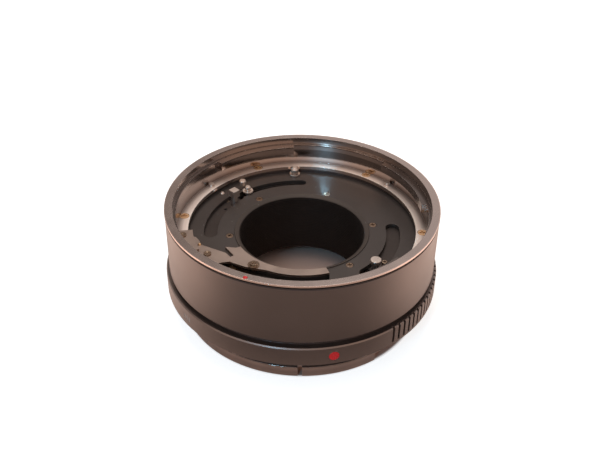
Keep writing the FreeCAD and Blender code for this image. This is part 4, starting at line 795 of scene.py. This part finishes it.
def make_screw_tree():
    """A bevelled head with a cross recess and a shank, on every point of the input."""
    tree, get = geometry_tree("cross_head_screws", {
        "Head Radius": 0.0015, "Head Height": 0.0005, "Edge": 0.0001, "Recess Span": 0.002,
        "Recess Width": 0.0004, "Recess Depth": 0.0003, "Shank Radius": 0.0007,
        "Shank Length": 0.003, "Tilt": 0.0, "Seed": 0})
    height = minus(tree, get["Head Height"], get["Edge"])
    low = solid(tree, "GeometryNodeMeshCylinder", Vertices=40, Radius=get["Head Radius"],
                Depth=height)
    low_mid = plus(tree, get["Edge"], times(tree, height, 0.5))
    body = moved(tree, low, vector(tree, Z=times(tree, low_mid, -1.0)))
    cap = solid(tree, "GeometryNodeMeshCone", Vertices=40,
                Radius_Top=minus(tree, get["Head Radius"], get["Edge"]),
                Radius_Bottom=get["Head Radius"], Depth=get["Edge"])
    cap_low = moved(tree, cap, vector(tree, Z=times(tree, get["Edge"], -1.0)))
    shank = solid(tree, "GeometryNodeMeshCylinder", Vertices=24, Radius=get["Shank Radius"],
                  Depth=get["Shank Length"])
    shank_mid = plus(tree, get["Head Height"], times(tree, get["Shank Length"], 0.5))
    # The shank reaches a little way into the head
    shank_low = moved(tree, shank, vector(tree, Z=times(tree, shank_mid, -0.98)))
    depth = times(tree, get["Recess Depth"], 2.0)
    span, width = get["Recess Span"], get["Recess Width"]
    bars = [add(tree, "GeometryNodeMeshCube",
                {"Size": vector(tree, X=first, Y=second, Z=depth)}).outputs["Mesh"]
            for first, second in ((span, width), (width, span))]
    recessed = boolean(tree, "DIFFERENCE",
                       boolean(tree, "UNION", None, (body, cap_low, shank_low)), bars)
    turn = add(tree, "FunctionNodeRandomValue", {"Seed": get["Seed"]}, data_type="FLOAT")
    turn.inputs[3].default_value = math.pi / 2
    angles = vector(tree, X=get["Tilt"], Z=turn.outputs[1])
    finish_tree(tree, instances(tree, get["Geometry"], recessed, angles), get["Finish"])


def make_rib_tree():
    """A row of sharp rings on the wall of a bore."""
    tree, get = geometry_tree("light_trap_ribs", {
        "Bore Radius": 0.0191, "Rib Height": 0.0002, "Pitch": 0.0006, "Ribs": 30, "Lowest": 0.0})
    # Each ring is a thin torus of three sides whose ridge points to the axis
    tooth = add(tree, "GeometryNodeCurvePrimitiveCircle",
                {"Resolution": 3, "Radius": times(tree, get["Rib Height"], 0.667)})
    path = add(tree, "GeometryNodeCurvePrimitiveCircle", {
        "Resolution": 144,
        "Radius": minus(tree, get["Bore Radius"], times(tree, get["Rib Height"], 0.3))})
    ring = add(tree, "GeometryNodeCurveToMesh",
               {"Curve": path.outputs["Curve"], "Profile Curve": tooth.outputs["Curve"]})
    row = add(tree, "GeometryNodeMeshLine", {
        "Count": get["Ribs"], "Start Location": vector(tree, Z=get["Lowest"]),
        "Offset": vector(tree, Z=get["Pitch"])}, mode="OFFSET")
    finish_tree(tree, instances(tree, row.outputs["Mesh"], ring.outputs["Mesh"]), get["Finish"])


def make_wire_tree():
    """Round wire along the input's line."""
    tree, get = geometry_tree("spring_wire", {"Wire Radius": 0.0002})
    section = add(tree, "GeometryNodeCurvePrimitiveCircle",
                  {"Resolution": 12, "Radius": get["Wire Radius"]})
    wire = add(tree, "GeometryNodeCurveToMesh", {
        "Curve": get["Geometry"], "Profile Curve": section.outputs["Curve"], "Fill Caps": True})
    smooth = add(tree, "GeometryNodeSetShadeSmooth", {"Geometry": wire.outputs["Mesh"]})
    finish_tree(tree, smooth.outputs["Geometry"], get["Finish"])


def make_tick_tree():
    """Plain upright strips of paint round a ring."""
    tree, get = geometry_tree("tick_strips", {
        "Radius": 0.042, "First": 0.0, "Step": 0.03, "Ticks": 3, "Width": 0.0003,
        "Height": 0.002, "Depth": 0.0001, "Level": 0.01})
    strip = add(tree, "GeometryNodeMeshCube", {
        "Size": vector(tree, X=get["Depth"], Y=get["Width"], Z=get["Height"])}).outputs["Mesh"]
    aside = moved(tree, strip, vector(tree, X=get["Radius"], Z=get["Level"]))
    row = add(tree, "GeometryNodeMeshLine", {"Count": get["Ticks"], "Offset": (0.0, 0.0, 0.0)},
              mode="OFFSET")
    number = add(tree, "GeometryNodeInputIndex").outputs["Index"]
    angle = plus(tree, get["First"], times(tree, number, get["Step"]))
    finish_tree(tree, instances(tree, row.outputs["Mesh"], aside, vector(tree, Z=angle)),
                get["Finish"])


def cross_screws(name, node, finish, head_radius, top=True):
    """A node's screws, made new by the screw tree where the CAD screws are."""
    sizes = bpy.context.scene.tube_sizes
    low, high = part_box(node)
    values = {
        "Head Radius": head_radius, "Head Height": HEAD_HEIGHT,
        "Edge": min(sizes.head_edge, HEAD_HEIGHT / 3), "Recess Span": head_radius * 1.25,
        "Recess Width": head_radius * 0.34, "Recess Depth": HEAD_HEIGHT * 0.85,
        "Shank Radius": SHANK_RADIUS, "Shank Length": (high.z - low.z) - HEAD_HEIGHT,
        "Tilt": 0.0 if top else math.pi, "Seed": sizes.turn_seed}
    points = point_object(name + "_points", head_centres(node, top))
    piece = run_tree(points, "cross_head_screws", name, values, finish)
    stand_in(piece, CASING, node)


# ---- operators


class FinishesOperator(bpy.types.Operator):
    """Builds the shared effects, the finishes and the geometry trees"""

    bl_idname = "extension_tube.finishes"
    bl_label = "Finishes"

    def execute(self, context):
        for make in (make_turned_marks, make_satin_grain, make_edge_wear, make_dust_specks,
                     make_handling, make_finishes, make_screw_tree, make_rib_tree,
                     make_wire_tree, make_tick_tree):
            make()
        return {"FINISHED"}


class FrontMountOperator(bpy.types.Operator):
    """Bright front bayonet with its ledge screws, stop pins and index dot"""

    bl_idname = "extension_tube.front_mount"
    bl_label = "Front mount"

    def execute(self, context):
        large, small = edges(context)
        rounded_copy("front_mount_ring", "front_bayonet_ring", large, "bright_bayonet")
        rounded_copy("mount_stop_pin", "domed_stop_pin", small, "pin_steel")
        rounded_copy("front_index_dot", "front_red_dot", small * 0.8, "index_red")
        cross_screws("ledge_screws", "front_mount_screws", "plain_brass", 1.5 * MM)
        return {"FINISHED"}


class BarrelOperator(bpy.types.Operator):
    """Black barrel with its outer finish"""

    bl_idname = "extension_tube.barrel"
    bl_label = "Barrel"

    def execute(self, context):
        large, _ = edges(context)
        rounded_copy("outer_barrel", "barrel_shell", large * 1.2, "satin_black_casing")
        return {"FINISHED"}


class GripRingOperator(bpy.types.Operator):
    """Grip ring, its paint, its red dot and its grub screws"""

    bl_idname = "extension_tube.grip_ring"
    bl_label = "Grip ring"

    def execute(self, context):
        large, small = edges(context)
        rounded_copy("grip_ring", "grooved_grip_ring", large, "satin_black_casing")
        rounded_copy("rear_index_dot", "rear_red_dot", small, "index_red")
        rounded_copy("grip_ring_screws", "grip_grub_screws", small, "screw_steel")
        low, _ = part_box("grip_ring")
        depth, width, height = TICK_SIZE
        first, step = TICK_ANGLES
        values = {"Radius": -low.y - TICK_SINK, "First": first, "Step": step, "Ticks": 3,
                  "Width": width, "Height": height, "Depth": depth, "Level": TICK_LEVEL}
        paint = run_tree(point_object("tick_points", [(0, 0, 0)]), "tick_strips",
                         "tick_paint_strips", values, "tick_paint")
        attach(paint, CASING)
        return {"FINISHED"}


class FrontPlateOperator(bpy.types.Operator):
    """Slotted front plate with its screws, pins and rivet"""

    bl_idname = "extension_tube.front_plate"
    bl_label = "Front plate"

    def execute(self, context):
        _, small = edges(context)
        rounded_copy("front_plate", "slotted_front_plate", small * 1.2, "semi_matt_plate")
        cross_screws("bore_screws", "front_plate_screws", "screw_steel", 1.15 * MM)
        for node, name in (("round_guide_pin", "guide_pin_round"),
                           ("flanged_guide_pin", "guide_pin_flanged"),
                           ("plate_rivet", "riveted_pip")):
            rounded_copy(node, name, small * 0.9, "pin_steel")
        return {"FINISHED"}


class BaffleOperator(bpy.types.Operator):
    """Black inner tube and the light-trap ribs in its bore"""

    bl_idname = "extension_tube.baffle"
    bl_label = "Baffle tube"

    def execute(self, context):
        large, _ = edges(context)
        sizes = context.scene.tube_sizes
        rounded_copy("baffle_tube", "baffle_body", large, "matt_lip")
        low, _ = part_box("baffle_tube")
        ribs = run_tree(point_object("rib_points", [(0, 0, 0)]), "light_trap_ribs", "bore_ribs", {
            "Bore Radius": BORE_RADIUS, "Rib Height": sizes.rib_height,
            "Pitch": sizes.rib_pitch, "Ribs": sizes.rib_count, "Lowest": low.z + 0.6 * MM},
            "matt_baffle")
        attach(ribs, CASING)
        return {"FINISHED"}


class BracketOperator(bpy.types.Operator):
    """Grey sheet bracket and its fasteners"""

    bl_idname = "extension_tube.bracket"
    bl_label = "Bracket"

    def execute(self, context):
        _, small = edges(context)
        rounded_copy("bracket_plate", "sheet_bracket", small * 1.4, "grey_sheet")
        rounded_copy("bracket_screws", "bracket_cross_screws", small, "screw_steel")
        rounded_copy("bracket_shoulder_screw", "washer_screw", small, "screw_steel")
        rounded_copy("bracket_pip", "brass_pip", small * 0.8, "plain_brass")
        return {"FINISHED"}


class DriveRingOperator(bpy.types.Operator):
    """Turning ring with the round and the square coupling pin"""

    bl_idname = "extension_tube.drive_ring"
    bl_label = "Drive ring"

    def execute(self, context):
        _, small = edges(context)
        rounded_copy("drive_ring", "drive_ring_blank", small * 1.2, "black_ring", DRIVE)
        for node, name, finish in (
                ("drive_ring_screw", "drive_ring_cross_screw", "screw_steel"),
                ("round_drive_pin", "drive_pin_round", "pin_steel"),
                ("square_drive_pin", "drive_pin_square", "pin_steel"),
                ("drive_forks", "drive_fork_pair", "pin_steel"),
                ("drive_fork_screws", "drive_fork_pins", "screw_steel")):
            rounded_copy(node, name, small * 1.1, finish, DRIVE)
        return {"FINISHED"}


class ReleaseRingOperator(bpy.types.Operator):
    """Second turning ring with its flanged post, fork and return spring"""

    bl_idname = "extension_tube.release_ring"
    bl_label = "Release ring"

    def execute(self, context):
        _, small = edges(context)
        rounded_copy("release_ring", "release_ring_blank", small, "black_ring", RELEASE)
        rounded_copy("release_post", "flanged_release_post", small, "pin_steel", RELEASE)
        rounded_copy("release_fork", "release_ring_fork", small, "pin_steel", RELEASE)
        spring_piece("release_return_spring", "return_spring_wire", 0.2 * MM, 15, along_z=False)
        return {"FINISHED"}


class InnerFrameOperator(bpy.types.Operator):
    """Spacer, keeper, pillars, rear plate and their screws"""

    bl_idname = "extension_tube.inner_frame"
    bl_label = "Inner frame"

    def execute(self, context):
        _, small = edges(context)
        for node, name, width, finish in (
                ("ring_spacer", "brass_ring_spacer", small * 0.8, "plain_brass"),
                ("ring_keeper", "keeper_ring", small, "semi_matt_plate"),
                ("plate_pillars", "brass_pillars", small, "plain_brass"),
                ("pillar_screws", "slotted_pillar_screws", small, "screw_steel"),
                ("spring_post", "spring_anchor_post", small, "pin_steel"),
                ("rear_plate", "slotted_rear_plate", small * 1.2, "semi_matt_plate")):
            rounded_copy(node, name, width, finish)
        return {"FINISHED"}


class RearMountOperator(bpy.types.Operator):
    """Bright rear bayonet and its screws"""

    bl_idname = "extension_tube.rear_mount"
    bl_label = "Rear mount"

    def execute(self, context):
        large, _ = edges(context)
        rounded_copy("rear_mount_ring", "rear_bayonet_ring", large, "bright_rear_bayonet")
        cross_screws("rear_flange_screws", "rear_mount_screws", "screw_steel", 1.0 * MM,
                     top=False)
        return {"FINISHED"}


class LensLockOperator(bpy.types.Operator):
    """Lock pin, unlocking ring, thumb piece and lock spring"""

    bl_idname = "extension_tube.lens_lock"
    bl_label = "Lens lock"

    def execute(self, context):
        large, small = edges(context)
        for node, name, width, finish, body in (
                ("lock_pin", "lock_pin_shaft", small, "pin_steel", PIN),
                ("lock_cross_pin", "lock_pin_cross_bar", small, "pin_steel", PIN),
                ("unlocking_ring", "unlocking_cam_ring", small, "pin_steel", UNLOCK),
                ("unlocking_ring_clips", "snap_clips", small, "spring_steel", CASING),
                ("unlocking_thumb_piece", "ridged_thumb_piece", large, "satin_black_casing",
                 UNLOCK),
                ("thumb_piece_rivet", "thumb_rivet", small, "pin_steel", UNLOCK)):
            rounded_copy(node, name, width, finish, body)
        spring = spring_piece("lock_spring", "lock_spring_wire", 0.14 * MM, 6, along_z=True)
        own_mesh(spring)
        return {"FINISHED"}


def spring_piece(node, name, wire_radius, turns, along_z):
    """A coil of round wire with closed ends, in the place of a CAD coil."""
    corners = [v.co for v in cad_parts[node].data.vertices]
    low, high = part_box(node)
    if along_z:
        start = Vector(((low.x + high.x) / 2, (low.y + high.y) / 2, low.z + wire_radius))
        end = Vector((start.x, start.y, high.z - wire_radius))
    else:
        start, end = longest_line(corners, (low.z + high.z) / 2)
    way = (end - start).normalized()
    side = way.orthogonal().normalized()
    other = way.cross(side)
    reach = max(abs((c - start).dot(side)) for c in corners) - wire_radius
    length = (end - start).length
    if not along_z:
        start = start + way * wire_radius
        length -= wire_radius * 2
    steps = turns * COIL_STEPS
    points = []
    for index in range(steps + 1):
        share = index / steps
        turn = share * turns * 2 * math.pi
        points.append(start + way * (length * closed_rise(share, turns))
                      + (side * math.cos(turn) + other * math.sin(turn)) * reach)
    piece = run_tree(line_object(name + "_line", points), "spring_wire", name,
                     {"Wire Radius": wire_radius * 0.97}, "spring_steel")
    stand_in(piece, CASING, node)
    return piece


def closed_rise(share, turns):
    """Share of a coil's length at a share of its wire, flatter in its first and last turn."""
    ends = 0.75 / turns
    flat = 0.35
    middle = 1.0 - 2 * ends * flat
    if share < ends:
        return share * flat
    if share > 1.0 - ends:
        return 1.0 - (1.0 - share) * flat
    return ends * flat + (share - ends) / (1.0 - 2 * ends) * middle


def longest_line(corners, level):
    """The two ends of a lying coil's own axis, from the spread of its corners."""
    middle = sum(corners, Vector()) / len(corners)
    far = max(corners, key=lambda c: (c - middle).xy.length)
    way = Vector(((far - middle).x, (far - middle).y, 0)).normalized()
    total_xx = sum((c.x - middle.x) ** 2 for c in corners)
    total_yy = sum((c.y - middle.y) ** 2 for c in corners)
    total_xy = sum((c.x - middle.x) * (c.y - middle.y) for c in corners)
    for _ in range(20):
        way = Vector((total_xx * way.x + total_xy * way.y,
                      total_xy * way.x + total_yy * way.y, 0)).normalized()
    reach = [(c - middle).dot(way) for c in corners]
    centre = Vector((middle.x, middle.y, level))
    return centre + way * min(reach), centre + way * max(reach)


class StageOperator(bpy.types.Operator):
    """Pale floor, soft lamps, white world and the camera"""

    bl_idname = "extension_tube.stage"
    bl_label = "Stage"

    def execute(self, context):
        scene, values = context.scene, context.scene.tube_stage
        make_floor(values)
        make_world(scene, values)
        make_lamps(scene, values)
        make_camera(scene, values)
        scene.view_settings.view_transform = "Standard"
        return {"FINISHED"}


def seen_directly(tree):
    """1 for rays from the camera and for rays that a bright or clear face sends on."""
    path = add(tree, "ShaderNodeLightPath").outputs
    shown = maths(tree, "MAXIMUM", path["Is Camera Ray"], path["Is Glossy Ray"])
    return maths(tree, "MAXIMUM", shown, path["Is Transmission Ray"])


def make_floor(values):
    """A round pale floor with a painted shadow under the tube."""
    shape = bmesh.new()
    bmesh.ops.create_circle(shape, cap_ends=True, segments=96, radius=FLOOR_RADIUS)
    mesh = bpy.data.meshes.new("floor")
    shape.to_mesh(mesh)
    shape.free()
    floor = settled(mesh, "floor")
    material = bpy.data.materials.new("pale_floor")
    tree, out = bare_tree(material, "ShaderNodeOutputMaterial")
    where, parts = object_place(tree)
    away = from_axis(tree, parts)
    open_floor = soft(tree, away, *FOOT_SHADOW)
    # Painted shadow under the tube: darker to the front, clouded with noise
    deep = ramp(tree, parts["Y"], *SHADOW_SLOPE)
    cloud = times(tree, noise(tree, where, 30.0), deep)
    under = mixed(tree, plus(tree, deep, cloud), SHADOW_FRONT, SHADOW_BACK)
    pale = mixed(tree, open_floor, under, tuple(values.floor))
    # Metal and satin faces see a warm table: bright close by and to the sides, with a dim ring
    table = soft(tree, away, *TABLE_EDGE)
    front = maths(tree, "DIVIDE", parts["Y"], away)
    aside = times(tree, soft(tree, front, -0.93, -0.2), soft(tree, front, 0.15, 0.7, 1.0, 0.25))
    far = mixed(tree, aside, FAR_TABLE, WARM_TABLE)
    ring = times(tree, table, minus(tree, 1.0, soft(tree, away, *DIM_RING)))
    warm = mixed(tree, times(tree, ring, 0.5), mixed(tree, table, WARM_TABLE, far),
                 DIM_TABLE)
    mirrored = add(tree, "ShaderNodeLightPath").outputs["Is Glossy Ray"]
    colour = mixed(tree, mirrored, pale, warm)
    paper = add(tree, "ShaderNodeBsdfDiffuse", {"Color": colour, "Roughness": 0.5})
    shown = minus(tree, seen_directly(tree), mirrored)
    glow = times(tree, times(tree, shown, open_floor), values.floor_glow)
    bounce = times(tree, times(tree, mirrored, table), times(tree, aside, 0.34))
    light = add(tree, "ShaderNodeEmission",
                {"Color": mixed(tree, mirrored, WHITE, WARM_TABLE),
                 "Strength": plus(tree, glow, bounce)})
    both = add(tree, "ShaderNodeAddShader", {0: paper.outputs[0], 1: light.outputs[0]})
    tree.links.new(both.outputs[0], out.inputs["Surface"])
    floor.data.materials.append(material)


def make_world(scene, values):
    """White where it is seen, soft warm white where it lights, dimmer overhead in metal."""
    scene.world = bpy.data.worlds.new("soft_surround")
    tree, out = bare_tree(scene.world, "ShaderNodeOutputWorld")
    glossy = add(tree, "ShaderNodeLightPath").outputs["Is Glossy Ray"]
    direction = axes(tree, add(tree, "ShaderNodeTexCoord").outputs["Generated"])
    side, deep, up = direction["X"], direction["Y"], direction["Z"]
    behind = mixed(tree, soft(tree, side, -0.16, 0.16), (0.13, 0.10, 0.09), (0.52, 0.46, 0.45))
    before = mixed(tree, soft(tree, up, 0.24, 0.40), (0.20, 0.14, 0.11), (1.0, 0.74, 0.60))
    room = mixed(tree, soft(tree, deep, -0.35, 0.15), before, behind)
    ceiling = mixed(tree, soft(tree, up, 0.72, 0.92), room, (0.20, 0.16, 0.14))
    # The skyline is bright all round, higher up behind the tube than before it
    skyline = mixed(tree, ramp(tree, deep, -0.2, 0.4), soft(tree, up, 0.04, 0.14),
                    soft(tree, up, 0.20, 0.60))
    mirrored = mixed(tree, skyline, (1.0, 0.84, 0.77), ceiling)
    seen = mixed(tree, glossy, WHITE, mirrored)
    shown = add(tree, "ShaderNodeBackground", {"Color": seen, "Strength": 1.0})
    lit = add(tree, "ShaderNodeBackground", {"Color": (1.0, 0.955, 0.92, 1.0),
                                             "Strength": values.world})
    chosen = add(tree, "ShaderNodeMixShader", {0: seen_directly(tree), 1: lit.outputs[0],
                                               2: shown.outputs[0]})
    tree.links.new(chosen.outputs[0], out.inputs["Surface"])


def lamp(scene, name, place, target, size, power, colour):
    """A rectangular area lamp that points at a target."""
    data = bpy.data.lights.new(name, "AREA")
    data.shape = "RECTANGLE"
    data.size, data.size_y = size
    data.energy = power
    data.color = colour
    holder = bpy.data.objects.new(name, data)
    scene.collection.objects.link(holder)
    holder.location = place
    holder.rotation_mode = "QUATERNION"
    holder.rotation_quaternion = (Vector(target) - Vector(place)).to_track_quat("-Z", "Y")


def on_sphere(azimuth, elevation, distance):
    """A point seen from the tube at a compass angle (0 is +X) and a height angle."""
    a, e = math.radians(azimuth), math.radians(elevation)
    return Vector((math.cos(a) * math.cos(e), math.sin(a) * math.cos(e), math.sin(e))) * distance


def make_lamps(scene, values):
    """A large warm lamp overhead and a narrow cool one at the front left."""
    middle = Vector((0, 0, 0.025))
    lamp(scene, "soft_key", middle + on_sphere(azimuth=112, elevation=74, distance=0.55), middle,
         size=(0.34, 0.34), power=values.key, colour=(1.0, 0.95, 0.90))
    lamp(scene, "cool_window", middle + on_sphere(azimuth=248, elevation=29, distance=0.60),
         middle, size=(0.03, 0.26), power=values.window, colour=(0.30, 0.68, 1.0))


def make_camera(scene, values):
    """The camera, from a pinhole fit to the round edges."""
    pivot = Vector((0, 0, RIM_HEIGHT))
    el = values.elevation
    place = Vector((0, -math.cos(el), math.sin(el)))
    forward = -place
    right = Vector((1, 0, 0))
    up = right.cross(forward)
    pan = Matrix.Rotation(values.pan, 3, up)
    forward, right = pan @ forward, pan @ right
    tilt = Matrix.Rotation(values.tilt, 3, right)
    forward, up = tilt @ forward, tilt @ up
    cos, sin = math.cos(values.roll), math.sin(values.roll)
    right, up = right * cos + up * sin, up * cos - right * sin
    data = bpy.data.cameras.new("viewpoint")
    data.sensor_width = SENSOR_WIDTH
    data.lens = values.focal_pixels * SENSOR_WIDTH / PICTURE_WIDTH
    data.clip_start, data.clip_end = 0.01, 10.0
    camera = bpy.data.objects.new("viewpoint", data)
    scene.collection.objects.link(camera)
    turn = Matrix((right, up, -forward)).transposed().to_4x4()
    camera.matrix_world = Matrix.Translation(pivot + place * values.distance) @ turn
    scene.camera = camera


OPERATORS = (
    FinishesOperator, FrontMountOperator, BarrelOperator, GripRingOperator, FrontPlateOperator,
    BaffleOperator, BracketOperator, DriveRingOperator, ReleaseRingOperator, InnerFrameOperator,
    RearMountOperator, LensLockOperator, StageOperator,
)


class TubePanel(bpy.types.Panel):
    """Lists the sizes, the finishes, the stage and the operators"""

    bl_idname = "VIEW3D_PT_extension_tube"
    bl_label = "Extension Tube"
    bl_space_type = "VIEW_3D"
    bl_region_type = "UI"
    bl_category = "Extension Tube"

    def draw(self, context):
        layout = self.layout
        groups = (("Sizes", context.scene.tube_sizes), ("Finishes", context.scene.tube_finishes),
                  ("Stage", context.scene.tube_stage))
        for title, group in groups:
            box = layout.box()
            box.label(text=title)
            for name in group.__annotations__:
                box.prop(group, name)
        for operator in OPERATORS:
            layout.operator(operator.bl_idname)


CLASSES = (TubeSizes, TubeFinishes, TubeStage, *OPERATORS, TubePanel)


def register():
    for cls in CLASSES:
        bpy.utils.register_class(cls)
    bpy.types.Scene.tube_sizes = PointerProperty(type=TubeSizes)
    bpy.types.Scene.tube_finishes = PointerProperty(type=TubeFinishes)
    bpy.types.Scene.tube_stage = PointerProperty(type=TubeStage)


def unregister():
    del bpy.types.Scene.tube_stage
    del bpy.types.Scene.tube_finishes
    del bpy.types.Scene.tube_sizes
    for cls in reversed(CLASSES):
        bpy.utils.unregister_class(cls)


def main():
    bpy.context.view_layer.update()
    register()
    bpy.ops.extension_tube.finishes()
    bpy.ops.extension_tube.front_mount()
    bpy.ops.extension_tube.barrel()
    bpy.ops.extension_tube.grip_ring()
    bpy.ops.extension_tube.front_plate()
    bpy.ops.extension_tube.baffle()
    bpy.ops.extension_tube.bracket()
    bpy.ops.extension_tube.drive_ring()
    bpy.ops.extension_tube.release_ring()
    bpy.ops.extension_tube.inner_frame()
    bpy.ops.extension_tube.rear_mount()
    bpy.ops.extension_tube.lens_lock()
    bpy.ops.extension_tube.stage()


if __name__ == "__main__":
    main()
